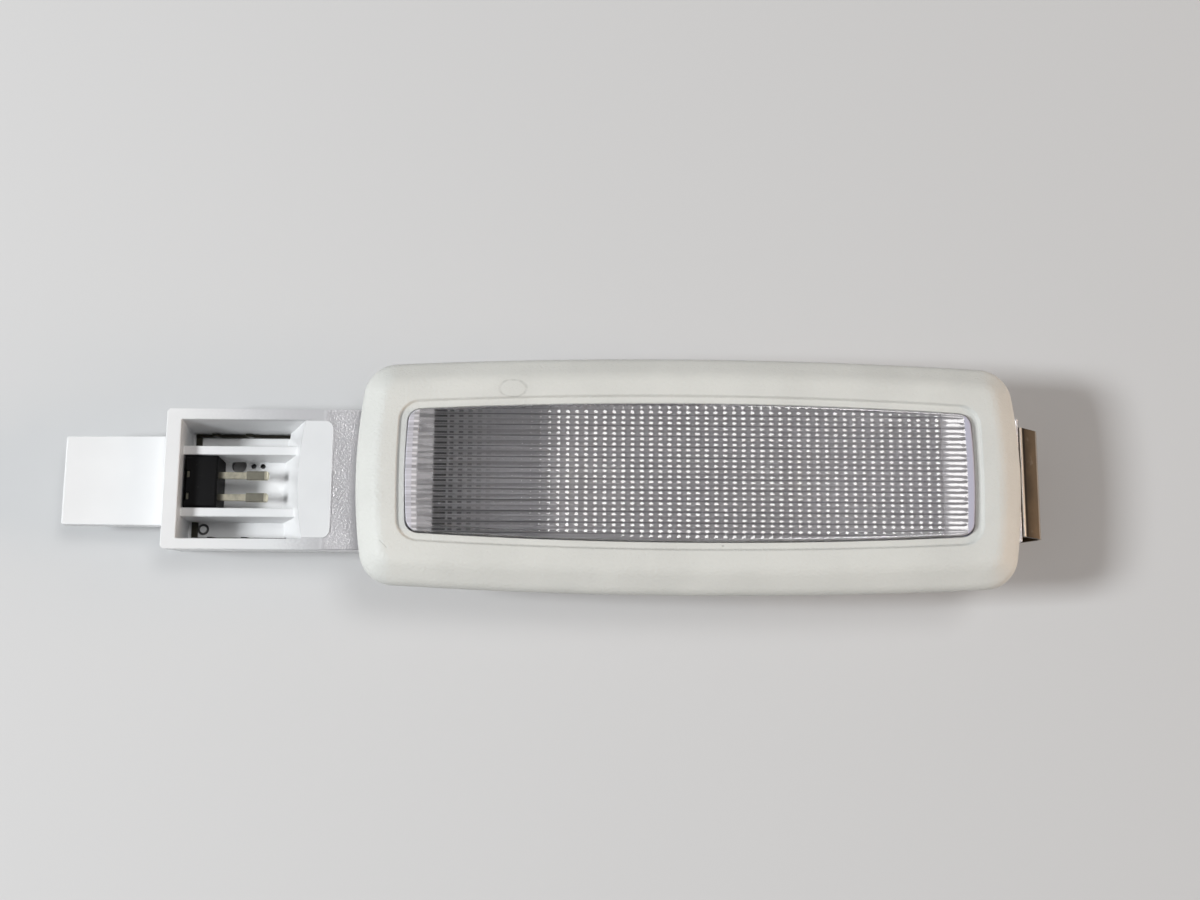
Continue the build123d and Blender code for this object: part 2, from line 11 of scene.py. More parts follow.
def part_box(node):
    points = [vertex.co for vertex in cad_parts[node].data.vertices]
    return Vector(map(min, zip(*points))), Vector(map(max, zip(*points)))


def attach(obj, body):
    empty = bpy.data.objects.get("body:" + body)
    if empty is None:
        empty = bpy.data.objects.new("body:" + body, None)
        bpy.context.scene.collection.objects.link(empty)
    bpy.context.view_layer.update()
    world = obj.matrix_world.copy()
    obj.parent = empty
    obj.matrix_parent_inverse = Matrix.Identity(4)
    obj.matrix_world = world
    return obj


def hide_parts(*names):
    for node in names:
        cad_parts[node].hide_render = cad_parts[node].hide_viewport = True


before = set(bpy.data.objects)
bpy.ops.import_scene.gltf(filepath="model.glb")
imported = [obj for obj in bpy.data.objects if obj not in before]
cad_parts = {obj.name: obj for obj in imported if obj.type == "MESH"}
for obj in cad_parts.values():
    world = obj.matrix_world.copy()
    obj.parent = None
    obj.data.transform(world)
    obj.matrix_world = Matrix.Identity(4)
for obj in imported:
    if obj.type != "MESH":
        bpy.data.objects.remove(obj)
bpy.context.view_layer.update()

bl_info = {
    "name": "Roof Lamp",
    "version": (1, 0, 0),
    "blender": (4, 5, 0),
    "location": "View3D > Sidebar > Roof Lamp",
    "description": "Dresses a packed roof-lining lamp: bezel, lens, housing, contacts, bulb and clip",
    "category": "Object",
}

MM = 0.001
BEZEL_LOW, BEZEL_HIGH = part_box("bezel")
LENS_LOW, LENS_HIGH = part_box("lens")
HOUSING_LOW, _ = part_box("housing")
BULB_LOW, BULB_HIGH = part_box("bulb_filament")

# Softened copies: points this near are one, faces this flat are one, edges sharper than this stay sharp,
# and so do edges of faces that are fewer radii wide than this
MERGE_DISTANCE = 0.002 * MM
FLAT_ANGLE = 0.6
SHARPEST_ANGLE = 150.0
BEVEL_ROOM = 2.5


# Settings

def size(name, description, default):
    return FloatProperty(name=name, description=description, default=default, min=0.0, precision=5,
                         subtype="DISTANCE", unit="LENGTH")


def tint(name, description, default):
    return FloatVectorProperty(name=name, description=description, default=default, size=3,
                               min=0.0, max=1.0, subtype="COLOR")


def share(name, description, default):
    return FloatProperty(name=name, description=description, default=default, min=0.0, max=1.0,
                         subtype="FACTOR")


def power(name, description, default):
    return FloatProperty(name=name, description=description, default=default, min=0.0, unit="POWER")


def position(name, description, default):
    return FloatVectorProperty(name=name, description=description, default=default, size=3, precision=4,
                               subtype="TRANSLATION", unit="LENGTH")


def tilt(name, description, degrees):
    return FloatProperty(name=name, description=description, default=radians(degrees), precision=4,
                         subtype="ANGLE", unit="ROTATION")


def optic(name, description, default):
    return FloatProperty(name=name, description=description, default=default, min=1.0,
                         subtype="DISTANCE_CAMERA", unit="CAMERA")


class BezelSettings(PropertyGroup):
    """Sizes and colours of the bezel."""

    half_length: size("Half Length", "From the middle to the outer edge at an end", BEZEL_HIGH.x)
    half_width: size("Half Width", "From the middle to the outer edge at a side", BEZEL_HIGH.y)
    end_bow: size("End Bow", "How far an end bows out", 1.75 * MM)
    side_bow: size("Side Bow", "How far a side bows out", 1.5 * MM)
    corner: size("Corner Radius", "Radius of the outer corners", 5.5 * MM)
    height: size("Height", "From the roof lining to the flat band", BEZEL_HIGH.z)
    skirt: size("Skirt Height", "Height of the upright outer wall", 1.5 * MM)
    slope: size("Slope Width", "Width of the sloped band", 3.4 * MM)
    shoulder: size("Shoulder Radius", "Radius between the skirt and the slope", 2.4 * MM)
    brow: size("Brow Radius", "Radius between the slope and the flat band", 3.4 * MM)
    wall: size("Wall", "Thickness of the plate and of the skirt", 1.8 * MM)
    hollow: size("Hollow Skirt", "Height of the upright wall inside the skirt", 0.75 * MM)
    lip_width: size("Lip Width", "Width of the ledge round the window", 1.0 * MM)
    lip_drop: size("Lip Drop", "Depth of the ledge below the flat band", 0.45 * MM)
    lip_slant: size("Lip Slant", "How far the step to the ledge leans", 0.3 * MM)
    gap: size("Window Gap", "Gap between the lens and the window", 0.15 * MM)
    soft: size("Soft Edge", "Radius of the small moulded edges", 0.16 * MM)
    hook_spacing: size("Hook Spacing", "Distance between the hooks of one side", 50.0 * MM)
    hook_reach: size("Hook Reach", "From the middle to a hook's inner face", 13.33 * MM)
    hook_length: size("Hook Length", "Length of a hook along the lamp", 8.0 * MM)
    hook_thickness: size("Hook Thickness", "Thickness of a hook", 1.2 * MM)
    hook_bite: size("Hook Bite", "How far a hook's nose stands in", 0.5 * MM)
    hook_nose: size("Hook Nose", "Height of a hook's nose above its foot", 1.3 * MM)
    hook_slant: size("Hook Slant", "How far the top of a hook's nose falls to its tip", 0.15 * MM)
    hook_soft: size("Hook Edge", "Radius of a hook's edges", 0.1 * MM)
    plastic: tint("Plastic", "Pale warm grey of the moulding", (0.635, 0.64, 0.61))
    worn: tint("Worn Mark", "Grey of the rubbed marks", (0.36, 0.36, 0.34))


class LensSettings(PropertyGroup):
    """Sizes and colours of the lens."""

    flange: size("Flange", "Width of the flange under the bezel", 1.2 * MM)
    flange_height: size("Flange Height", "Thickness of the flange", 0.9 * MM)
    end_bow: size("End Bow", "How far an end bows out", 0.35 * MM)
    side_bow: size("Side Bow", "How far a side bows out", 1.28 * MM)
    corner: size("Corner Radius", "Radius of the corners", 2.0 * MM)
    wall: size("Wall", "Thickness of the side wall", 1.3 * MM)
    rim: size("Rim", "Width of the smooth rim round the face", 0.36 * MM)
    face: size("Face", "Thickness of the face", 1.6 * MM)
    edge: size("Edge Radius", "Radius of the rim's outer edge", 0.22 * MM)
    reed_count: IntProperty(name="Reeds", description="Number of reeds across the face", default=54, min=1)
    reed_pitch: size("Reed Pitch", "Width of one crosswise reed", 1.45 * MM)
    reed_height: size("Reed Height", "Height of a reed over its valleys", 0.085 * MM)
    low_reeds: share("Low Reeds", "Height of the reeds at the left, as a share of the others", 0.35)
    crown_height: size("Crown Height", "Height of the lengthwise waves on the face", 0.092 * MM)
    flute_pitch: size("Flute Pitch", "Width of one lengthwise flute", 1.7 * MM)
    flute_height: size("Flute Height", "Depth of a flute", 0.24 * MM)
    pillow_height: size("Pillow Height", "Height of the pillows under the reeds", 0.14 * MM)
    plastic: tint("Plastic", "Tint of the clear plastic", (0.96, 0.955, 0.97))
    # Frost is also the milky tone of the painted glints at the ends
    frost: tint("Frost", "Milky tone of the hazy plastic", (0.66, 0.645, 0.67))
    # Painted sheen: the lilac tone of the end rims
    rim_sheen: tint("End Rims", "Tone of the right rim, and in part of the left", (0.46, 0.455, 0.55))


class HousingSettings(PropertyGroup):
    """Edges and colours of the housing."""

    soft: size("Soft Edge", "Radius of the moulded edges", 0.18 * MM)
    plastic: tint("Plastic", "White of the moulding", (0.77, 0.775, 0.78))
    mirror: tint("Metallised Film", "Grey of the film in the reflector and its overspray", (0.76, 0.75, 0.77))
    # Painted shade in the small holes and the ring's groove
    shade: tint("Holes", "Dark of the small holes and of the moulded ring", (0.02, 0.02, 0.02))


class ContactSettings(PropertyGroup):
    """Edges and colours of the terminal block and the contacts."""

    block_soft: size("Block Edge", "Radius of the block's edges", 0.1 * MM)
    strip_soft: size("Strip Edge", "Radius of the contacts' edges", 0.05 * MM)
    block: tint("Block", "Black of the terminal block", (0.003, 0.003, 0.0035))
    strip: tint("Strip", "Bright plated strip", (0.74, 0.70, 0.56))
    tab: tint("Tab", "Dull olive face of a pin's tab", (0.15, 0.145, 0.12))
    dust: tint("Dust", "Grey of the dust on the block", (0.16, 0.16, 0.16))


class BulbSettings(PropertyGroup):
    """Sizes and colours of the bulb."""

    turns: IntProperty(name="Turns", description="Turns of the coiled filament", default=34, min=2)
    coil: size("Coil Radius", "Radius of the coil", 0.34 * MM)
    coil_length: size("Coil Length", "Length of the coiled stretch", 15.0 * MM)
    wire: size("Wire Radius", "Radius of the wire", 0.07 * MM)
    glass: tint("Glass", "Tint of the glass", (0.97, 0.97, 0.97))
    cap: tint("Cap", "Plated caps", (0.72, 0.71, 0.68))
    filament: tint("Filament", "Grey of the wire", (0.30, 0.29, 0.28))


class ClipSettings(PropertyGroup):
    """Edges and colours of the spring clip."""

    soft: size("Soft Edge", "Radius of the strip's edges", 0.07 * MM)
    bronze: tint("Bronze", "Brown of the tempered strip", (0.064, 0.047, 0.030))
    steel: tint("Steel", "Grey of the rubbed strip", (0.40, 0.38, 0.35))


class StageSettings(PropertyGroup):
    """Floor, light and camera."""

    floor: tint("Floor", "Pale floor", (0.60, 0.605, 0.61))
    floor_reach: size("Floor Reach", "From the middle to an edge of the floor", 12.0)
    sky: tint("Sky", "Soft light from all round", (0.20, 0.20, 0.203))
    backdrop: tint("Backdrop", "Tone of the far floor, and of the sky where it is seen", (0.62, 0.62, 0.62))
    key_place: position("Key Place", "Place of the soft light at the left", (-0.684, -0.085, 0.578))
    key_tone: tint("Key Tone", "Colour of the soft light at the left", (0.96, 0.985, 1.0))
    key_width: size("Key Width", "Width of the soft light at the left", 0.17)
    key_power: power("Key Power", "Power of the soft light at the left", 6.8)
    fill_place: position("Fill Place", "Place of the soft light overhead", (0.433, 0.294, 1.512))
    fill_tone: tint("Fill Tone", "Colour of the soft light overhead", (1.0, 0.99, 0.98))
    fill_width: size("Fill Width", "Width of the soft light overhead", 0.5)
    fill_power: power("Fill Power", "Power of the soft light overhead", 5.3)
    side_place: position("Side Place", "Place of the faint warm light at the right", (1.74, -0.1, 0.46))
    side_tone: tint("Side Tone", "Colour of the faint warm light at the right", (1.0, 0.74, 0.54))
    side_width: size("Side Width", "Width of the faint warm light at the right", 0.6)
    side_power: power("Side Power", "Power of the faint warm light at the right", 15.6)
    camera_place: position("Camera Place", "Place of the camera", (-0.0175, -0.0496, 0.2627))
    camera_pitch: tilt("Camera Pitch", "Turn of the camera about X", 11.56)
    camera_yaw: tilt("Camera Yaw", "Turn of the camera about Y", -0.75)
    camera_roll: tilt("Camera Roll", "Turn of the camera about Z", 0.52)
    lens: optic("Camera Lens", "Focal length of the camera", 51.0)
    sensor: optic("Camera Sensor", "Width of the camera's sensor", 36.0)
    nearest: size("Nearest", "Nearest distance that the camera shows", 0.01)
    farthest: size("Farthest", "Farthest distance that the camera shows", 20.0)


# Nodes

class Value:
    """A socket in a node tree. Sums on it add Math nodes."""

    def __init__(self, nodes, socket):
        self.nodes = nodes
        self.socket = socket

    def __add__(self, other):
        return self.nodes.maths("ADD", self, other)

    __radd__ = __add__

    def __sub__(self, other):
        return self.nodes.maths("SUBTRACT", self, other)

    def __rsub__(self, other):
        return self.nodes.maths("SUBTRACT", other, self)

    def __mul__(self, other):
        return self.nodes.maths("MULTIPLY", self, other)

    __rmul__ = __mul__

    def __truediv__(self, other):
        return self.nodes.maths("DIVIDE", self, other)

    def __pow__(self, other):
        return self.nodes.maths("POWER", self, other)

    def __abs__(self):
        return self.nodes.maths("ABSOLUTE", self)

    def most(self, other):
        return self.nodes.maths("MAXIMUM", self, other)

    def off_whole(self):
        """How far the value lies from the nearest whole number."""
        return abs(self.nodes.maths("FRACT", self + 0.5) - 0.5)

    def fade(self, start, end):
        """Rises smoothly from 0 at start to 1 at end, or falls where end is the lower."""
        if end < start:
            return 1 - self.fade(end, start)
        settings = {"interpolation_type": "SMOOTHSTEP"}
        return self.nodes.node("ShaderNodeMapRange", settings, {0: self, 1: start, 2: end})


class Nodes:
    """A node tree that is written as Python expressions."""

    def __init__(self, tree):
        self.tree = tree

    def node(self, kind, settings, sockets, output=0):
        """Adds a node: its settings first, then the values or links of its sockets."""
        made = self.tree.nodes.new(kind)
        for key, value in settings.items():
            setattr(made, key, value)
        for key, value in sockets.items():
            if isinstance(value, Value):
                self.tree.links.new(value.socket, made.inputs[key])
            else:
                made.inputs[key].default_value = value
        return Value(self, made.outputs[output]) if made.outputs else None

    def maths(self, operation, *values):
        return self.node("ShaderNodeMath", {"operation": operation}, dict(enumerate(values)))

    def parts(self, vector):
        split = self.node("ShaderNodeSeparateXYZ", {}, {0: vector}).socket.node
        return [Value(self, socket) for socket in split.outputs]

    def ray(self, *kinds):
        """One for rays of the given kinds, such as Camera or Glossy, and zero for others."""
        first, *others = [self.node("ShaderNodeLightPath", {}, {}, f"Is {kind} Ray") for kind in kinds]
        for other in others:
            first = first.most(other)
        return first

    def blend(self, factor, first, second):
        """A colour between two colours. The numbers are the colour sockets of the node."""
        ends = [end if isinstance(end, Value) else (*end, 1.0) for end in (first, second)]
        sockets = {0: factor, 6: ends[0], 7: ends[1]}
        return self.node("ShaderNodeMix", {"data_type": "RGBA"}, sockets, 2)


class Finish(Nodes):
    """A material made of nodes. Lengths in it are in millimetres of the object's own frame."""

    def __init__(self, name):
        self.material = bpy.data.materials.new(name)
        self.material.use_nodes = True
        super().__init__(self.material.node_tree)
        self.tree.nodes.clear()
        coordinates = self.node("ShaderNodeTexCoord", {}, {}, "Object")
        sockets = {0: coordinates, "Scale": 1 / MM}
        self.point = self.node("ShaderNodeVectorMath", {"operation": "SCALE"}, sockets)
        self.x, self.y, self.z = self.parts(self.point)

    def noise(self, scale, detail=2.0, stretch=None):
        """Cloudy values round one half, with scale features to the millimetre."""
        point = self.point
        if stretch:
            point = self.node("ShaderNodeMapping", {}, {"Vector": point, "Scale": stretch})
        return self.node("ShaderNodeTexNoise", {}, {"Vector": point, "Scale": scale, "Detail": detail})

    def distance(self, place, stretch=(1.0, 1.0)):
        """How far a point lies from a place in X and Y, with each axis stretched."""
        across = (self.x - place[0]) * stretch[0]
        along = (self.y - place[1]) * stretch[1]
        return (across * across + along * along) ** 0.5

    def within(self, length, width, height):
        """One inside a half length and a half width and above a height, each with a soft edge."""
        return abs(self.x).fade(*length) * abs(self.y).fade(*width) * self.z.fade(*height)

    def bump(self, height, depth, strength=1.0):
        """A normal for a relief of the given depth in millimetres."""
        sockets = {"Strength": strength, "Distance": depth * MM, "Height": height}
        return self.node("ShaderNodeBump", {}, sockets, "Normal")

    def shader(self, **sockets):
        """A shader whose sockets have the given values or links."""
        named = {key.replace("_", " ").title().replace("Ior", "IOR"): value for key, value in sockets.items()}
        return self.node("ShaderNodeBsdfPrincipled", {}, named)

    def end(self, shader):
        self.node("ShaderNodeOutputMaterial", {}, {"Surface": shader})
        return self.material

    def close(self, **sockets):
        """Ends the finish in one shader."""
        return self.end(self.shader(**sockets))


def geometry_tree(name, *numbers, **others):
    """A geometry tree whose inputs are numbers, others by kind and a material. Returns nodes and values."""
    inputs = {**dict.fromkeys(numbers, "Float"), **others, "Material": "Material"}
    tree = bpy.data.node_groups.new(name, "GeometryNodeTree")
    tree.interface.new_socket("Geometry", in_out="INPUT", socket_type="NodeSocketGeometry")
    for label, kind in inputs.items():
        tree.interface.new_socket(label, in_out="INPUT", socket_type="NodeSocket" + kind)
    tree.interface.new_socket("Geometry", in_out="OUTPUT", socket_type="NodeSocketGeometry")
    nodes = Nodes(tree)
    source = tree.nodes.new("NodeGroupInput")
    values = {socket.name: Value(nodes, socket) for socket in source.outputs if socket.name}
    return nodes, values


def end_tree(nodes, geometry, material):
    """Ends a geometry tree in plain mesh with its material."""
    real = nodes.node("GeometryNodeRealizeInstances", {}, {0: geometry})
    dressed = nodes.node("GeometryNodeSetMaterial", {}, {"Geometry": real, "Material": material})
    nodes.node("NodeGroupOutput", {}, {0: dressed})


def grown(obj, nodes, values):
    """The object with the plain mesh that a geometry tree makes of it."""
    modifier = obj.modifiers.new(nodes.tree.name, "NODES")
    modifier.node_group = nodes.tree
    for item in nodes.tree.interface.items_tree:
        if item.in_out == "INPUT" and item.name in values:
            modifier[item.identifier] = values[item.name]
    return settled(obj)


# Meshes

def new_piece(name, vertices=(), faces=()):
    mesh = bpy.data.meshes.new(name)
    mesh.from_pydata([tuple(v) for v in vertices], [], faces)
    obj = bpy.data.objects.new(name, mesh)
    bpy.context.scene.collection.objects.link(obj)
    return obj


def settled(obj):
    """The object with its modifiers turned into plain mesh."""
    bpy.context.view_layer.update()
    evaluated = obj.evaluated_get(bpy.context.evaluated_depsgraph_get())
    mesh = bpy.data.meshes.new_from_object(evaluated)
    if not len(mesh.polygons):
        raise RuntimeError(f"{obj.name} came out empty")
    obj.modifiers.clear()
    old = obj.data
    obj.data = mesh
    bpy.data.meshes.remove(old)
    mesh.name = obj.name
    return obj


def smooth(obj, angle):
    """Shades the object smoothly, apart from edges sharper than the angle in degrees."""
    obj.data.polygons.foreach_set("use_smooth", [True] * len(obj.data.polygons))
    obj.data.set_sharp_from_angle(angle=radians(angle))
    return obj


def dress(obj, material, body, slot, *nodes):
    """Gives a piece its material and body, and lets it stand for CAD nodes."""
    obj.data.materials.clear()
    obj.data.materials.append(material)
    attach(obj, body)
    if nodes:
        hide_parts(*nodes)
    return obj


def paint(node, material):
    """Gives a CAD node a finish in its own slots."""
    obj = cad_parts[node]
    if not obj.material_slots:
        obj.data.materials.append(material)
    for slot in obj.material_slots:
        slot.material = material


class Outline:
    """Oblong with bowed sides and rounded corners: points with outward normals, anticlockwise."""

    def __init__(self, half_length, half_width, end_bow, side_bow, corner):
        x_corner = half_length - end_bow
        y_corner = half_width - side_bow
        self.corner = corner
        self.side_radius = (x_corner ** 2 + side_bow ** 2) / (2 * side_bow)
        self.end_radius = (y_corner ** 2 + end_bow ** 2) / (2 * end_bow)
        self.side_centre = half_width - self.side_radius
        self.end_centre = half_length - self.end_radius
        self.solve_corner()

    def solve_corner(self):
        """Finds the circle that rounds the corner between an end and a side."""
        end_reach = self.end_radius - self.corner
        side_reach = self.side_radius - self.corner
        gap = hypot(self.end_centre, self.side_centre)
        along = (end_reach ** 2 - side_reach ** 2 + gap ** 2) / (2 * gap)
        across = sqrt(end_reach ** 2 - along ** 2)
        to_side = Vector((-self.end_centre, self.side_centre)) / gap
        base = Vector((self.end_centre, 0)) + to_side * along
        turned = Vector((-to_side.y, to_side.x)) * across
        self.corner_centre = max((base + turned, base - turned), key=lambda point: point.x + point.y)
        self.side_angle = atan2(self.corner_centre.x, self.corner_centre.y - self.side_centre)
        self.end_angle = atan2(self.corner_centre.y, self.corner_centre.x - self.end_centre)

    def side_points(self, angles):
        """Points and normals along the side at +Y, from angles off the Y axis."""
        normals = np.stack([np.sin(angles), np.cos(angles)], 1)
        return normals * self.side_radius + np.array([0, self.side_centre]), normals

    def end_points(self, angles):
        """Points and normals along the end at +X, from angles off the X axis."""
        normals = np.stack([np.cos(angles), np.sin(angles)], 1)
        return normals * self.end_radius + np.array([self.end_centre, 0]), normals

    def corner_points(self, count):
        """Points and normals round the corner at +X +Y, from the end to the side, without its two ends."""
        angles = np.linspace(self.end_angle, pi / 2 - self.side_angle, count + 1)[1:-1]
        normals = np.stack([np.cos(angles), np.sin(angles)], 1)
        return normals * self.corner + np.array(self.corner_centre), normals

    def quarter(self, side_count, end_count, corner_count):
        """Points and normals from the middle of the end at +X to the middle of the side at +Y."""
        end = self.end_points(np.linspace(0, self.end_angle, end_count + 1))
        corner = self.corner_points(corner_count)
        side = self.side_points(np.linspace(self.side_angle, 0, side_count + 1))
        return tuple(np.concatenate(part) for part in zip(end, corner, side))

    def ring(self, side_count=48, end_count=16, corner_count=16):
        """The whole outline as points and normals, mirrored from one quarter."""
        points, normals = self.quarter(side_count, end_count, corner_count)
        flip = np.array([-1, 1])
        half = [np.concatenate([part, part[-2::-1] * flip]) for part in (points, normals)]
        return tuple(np.concatenate([part, part[-2:0:-1] * -flip]) for part in half)


def lens_outline(context, grow):
    """Outline of the lens, grown evenly."""
    lens = context.scene.roof_lamp_lens
    half_length = LENS_HIGH.x - lens.flange + grow
    half_width = LENS_HIGH.y - lens.flange + grow
    return Outline(half_length, half_width, lens.end_bow, lens.side_bow, lens.corner + grow)


def arc(start, corner, end, radius, count):
    """Points of the round that a radius puts on the corner between two straight runs."""
    corner = Vector(corner)
    back = (Vector(start) - corner).normalized()
    on = (Vector(end) - corner).normalized()
    half = back.angle(on) / 2
    centre = corner + (back + on).normalized() * (radius / sin(half))
    first = corner + back * (radius / tan(half)) - centre
    last = corner + on * (radius / tan(half)) - centre
    sweep = pi - 2 * half
    steps = [i / count for i in range(count + 1)]
    return [centre + (first * sin((1 - t) * sweep) + last * sin(t * sweep)) / sin(sweep) for t in steps]


def ring_faces(first, second, count):
    """Quads between two rings of vertices, given where each ring starts."""
    return [(first + i, first + (i + 1) % count, second + (i + 1) % count, second + i) for i in range(count)]


def softened(node, name, radius, shortest=0.9, angle=35.0):
    """Copy of a CAD node with clean faces, whose sharp edges longer than some millimetres are rounded."""
    obj = new_piece(name)
    made = bmesh.new()
    made.from_mesh(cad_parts[node].data)
    bmesh.ops.remove_doubles(made, verts=made.verts, dist=MERGE_DISTANCE)
    bmesh.ops.dissolve_degenerate(made, dist=MERGE_DISTANCE, edges=made.edges)
    bmesh.ops.dissolve_limit(made, angle_limit=radians(FLAT_ANGLE), verts=made.verts, edges=made.edges)
    weights = made.edges.layers.float.new("bevel_weight_edge")
    for edge in made.edges:
        length = edge.calc_length()
        sharp = radians(angle) < edge.calc_face_angle(pi) < radians(SHARPEST_ANGLE)
        roomy = all(face.calc_area() > BEVEL_ROOM * radius * length for face in edge.link_faces)
        edge[weights] = 1.0 if length > shortest * MM and sharp and roomy else 0.0
    made.to_mesh(obj.data)
    made.free()
    bevel = obj.modifiers.new("soft edges", "BEVEL")
    bevel.limit_method = "WEIGHT"
    bevel.width = radius
    bevel.segments = 2
    bevel.use_clamp_overlap = False
    bevel.miter_outer = "MITER_ARC"
    return smooth(settled(obj), angle=18)


# Finishes

def toned(colour, share):
    """A colour made darker or lighter by a share."""
    return tuple(Vector(colour) * share)


def bezel_finish(settings):
    """Fine matt grain, with a rubbed ring, a scratch and a nick."""
    ring_place, ring_reach = (-27.7, 13.1), (2.1, 1.35)
    scratch_place, scratch_lean = (-47.9, -11.0), (0.715, 0.7)
    scratch_middle = 0.9
    nick_place, nick_shape = (5.0, -11.5), (1.0, 1.4)
    f = Finish("bezel_plastic")
    grain = f.noise(2.3, 3.0)
    cloud = f.noise(0.09, 2.0)
    wander = (f.noise(0.9) - 0.5) * 0.25
    ring = f.distance(ring_place, (1 / ring_reach[0], 1 / ring_reach[1])) + wander
    ring = abs(ring - 1.0).fade(0.16, 0.02) * (0.45 + 0.55 * f.noise(1.4).fade(0.35, 0.6))
    x, y = f.x - scratch_place[0], f.y - scratch_place[1]
    along = x * scratch_lean[0] - y * scratch_lean[1]
    across = x * scratch_lean[1] + y * scratch_lean[0]
    scratch = abs(across).fade(0.1, 0.03) * abs(along - scratch_middle).fade(1.0, 0.7)
    nick = (f.distance(nick_place, nick_shape) ** 2).fade(0.05, 0.015)
    worn = (ring * 0.42).most(scratch * 0.45).most(nick * 0.6)
    body = f.blend(cloud.fade(0.3, 0.7), toned(settings.plastic, 0.965), toned(settings.plastic, 1.03))
    colour = f.blend(worn, body, settings.worn)
    roughness = 0.5 + (grain - 0.5) * 0.22 + (cloud - 0.5) * 0.12 - worn * 0.15
    normal = f.bump(grain - worn * 0.6, 0.11, 0.9)
    return f.close(base_color=colour, roughness=roughness, normal=normal, specular_ior_level=0.42)


def lens_finish(settings):
    """Clear moulded plastic with a polished face and a matt back, with painted light and shade: dark lines,
    dashes and spots for the ripples' shade, milky streaks and sparkles at the ends and lilac on the rims for
    glints and sheen, and a milkier base where the reeds are full for the light there.
    """
    # Places along the lamp where each look starts and ends
    left_rim_edge, sparkle_edge, left_end_edge = (-43.05, -43.25), (-42.2, -42.6), (-39.5, -40.1)
    lines_start, dash_start, dash_end = (-40.1, -39.9), (-39.95, -39.75), (-37.7, -37.9)
    spots_start, spots_end = (-37.9, -37.7), (-27.0, -37.0)
    full_reeds, right_end_edge, right_rim_edge = (-24.0, -19.5), (38.9, 39.5), (42.95, 43.15)
    back_edge = (3.8, 3.5)
    end_bow = 0.0029
    f = Finish("lens_clear")
    bow = f.y * f.y * end_bow
    under = f.z.fade(*back_edge)
    full = f.x.fade(*full_reeds)
    left_rim = (f.x - bow).fade(*left_rim_edge)
    right_rim = (f.x + bow).fade(*right_rim_edge)
    turns = f.y / (settings.flute_pitch / MM)
    # Painted shade: dark lines along the flutes, and dashes and spots on the reeds, stand in for the shade
    # that the ripples throw; marks gathers them
    row = (turns * 2).off_whole().fade(0.28, 0.12)
    dark_line = (turns - 0.25).off_whole().fade(0.085, 0.03)
    faint_line = (turns + 0.25).off_whole().fade(0.07, 0.03) * 0.5
    line = dark_line.most(faint_line) * f.x.fade(*lines_start) * (1 - right_rim) * (0.85 - full * 0.25)
    column = (f.x / (settings.reed_pitch / MM) - 0.4).off_whole().fade(0.34, 0.16)
    dash = f.x.fade(*dash_start) * f.x.fade(*dash_end)
    spot = column * f.x.fade(*spots_start) * f.x.fade(*spots_end)
    painted_dashes = (row * dash * 0.98).most(row * spot * 0.9) * (1 - under)
    marks = painted_dashes.most(line * (1 - under))
    # Painted highlights: milky streaks at the left end, sparkles at its edge and a milky band at the right
    # end stand in for glints on the flute ends
    streaks = f.noise(1.6, 3.0, (0.08, 1.0, 1.0)).fade(0.4, 0.62)
    left_end_glints = f.x.fade(*left_end_edge) * (0.12 + streaks * 0.22)
    painted_sparkle = (f.x - bow).fade(*sparkle_edge) * (0.2 + row * 0.45)
    right_end_glints = f.x.fade(*right_end_edge) * (1 - right_rim) * 0.24
    haze = f.noise(0.5, 4.0).fade(0.45, 0.8)
    specks = f.noise(3.0, 1.0).fade(0.74, 0.8)
    # Milky share: a faint real haze, plus painted light where the reeds are full and on the end rims, the
    # right one most
    milk_and_painted_light = 0.04 + full * 0.13 + left_end_glints + painted_sparkle.most(left_rim * 0.5) + right_end_glints + right_rim * 0.83
    roughness = 0.03 + haze * 0.03 + specks * 0.2 + under * 0.28
    # Painted shade: the clear plastic is tinted dark along the marks
    plastic = f.blend(marks, settings.plastic, toned(settings.plastic, 0.03))
    clear = f.shader(base_color=plastic, roughness=roughness, transmission_weight=1.0, ior=1.58,
                     coat_weight=1 - painted_dashes * 0.7, coat_roughness=0.04, coat_ior=2.0)
    # Painted sheen: the rims take the lilac tone, the right one fully and the left in part; the painted shade
    # darkens the frost too
    frost = f.blend(right_rim.most(left_rim * 0.4), settings.frost, settings.rim_sheen)
    frost = f.blend(marks, frost, toned(settings.frost, 0.3))
    frosted = f.shader(base_color=frost, roughness=0.6)
    return f.end(f.node("ShaderNodeMixShader", {}, {0: milk_and_painted_light + haze * 0.03, 1: clear, 2: frosted}))


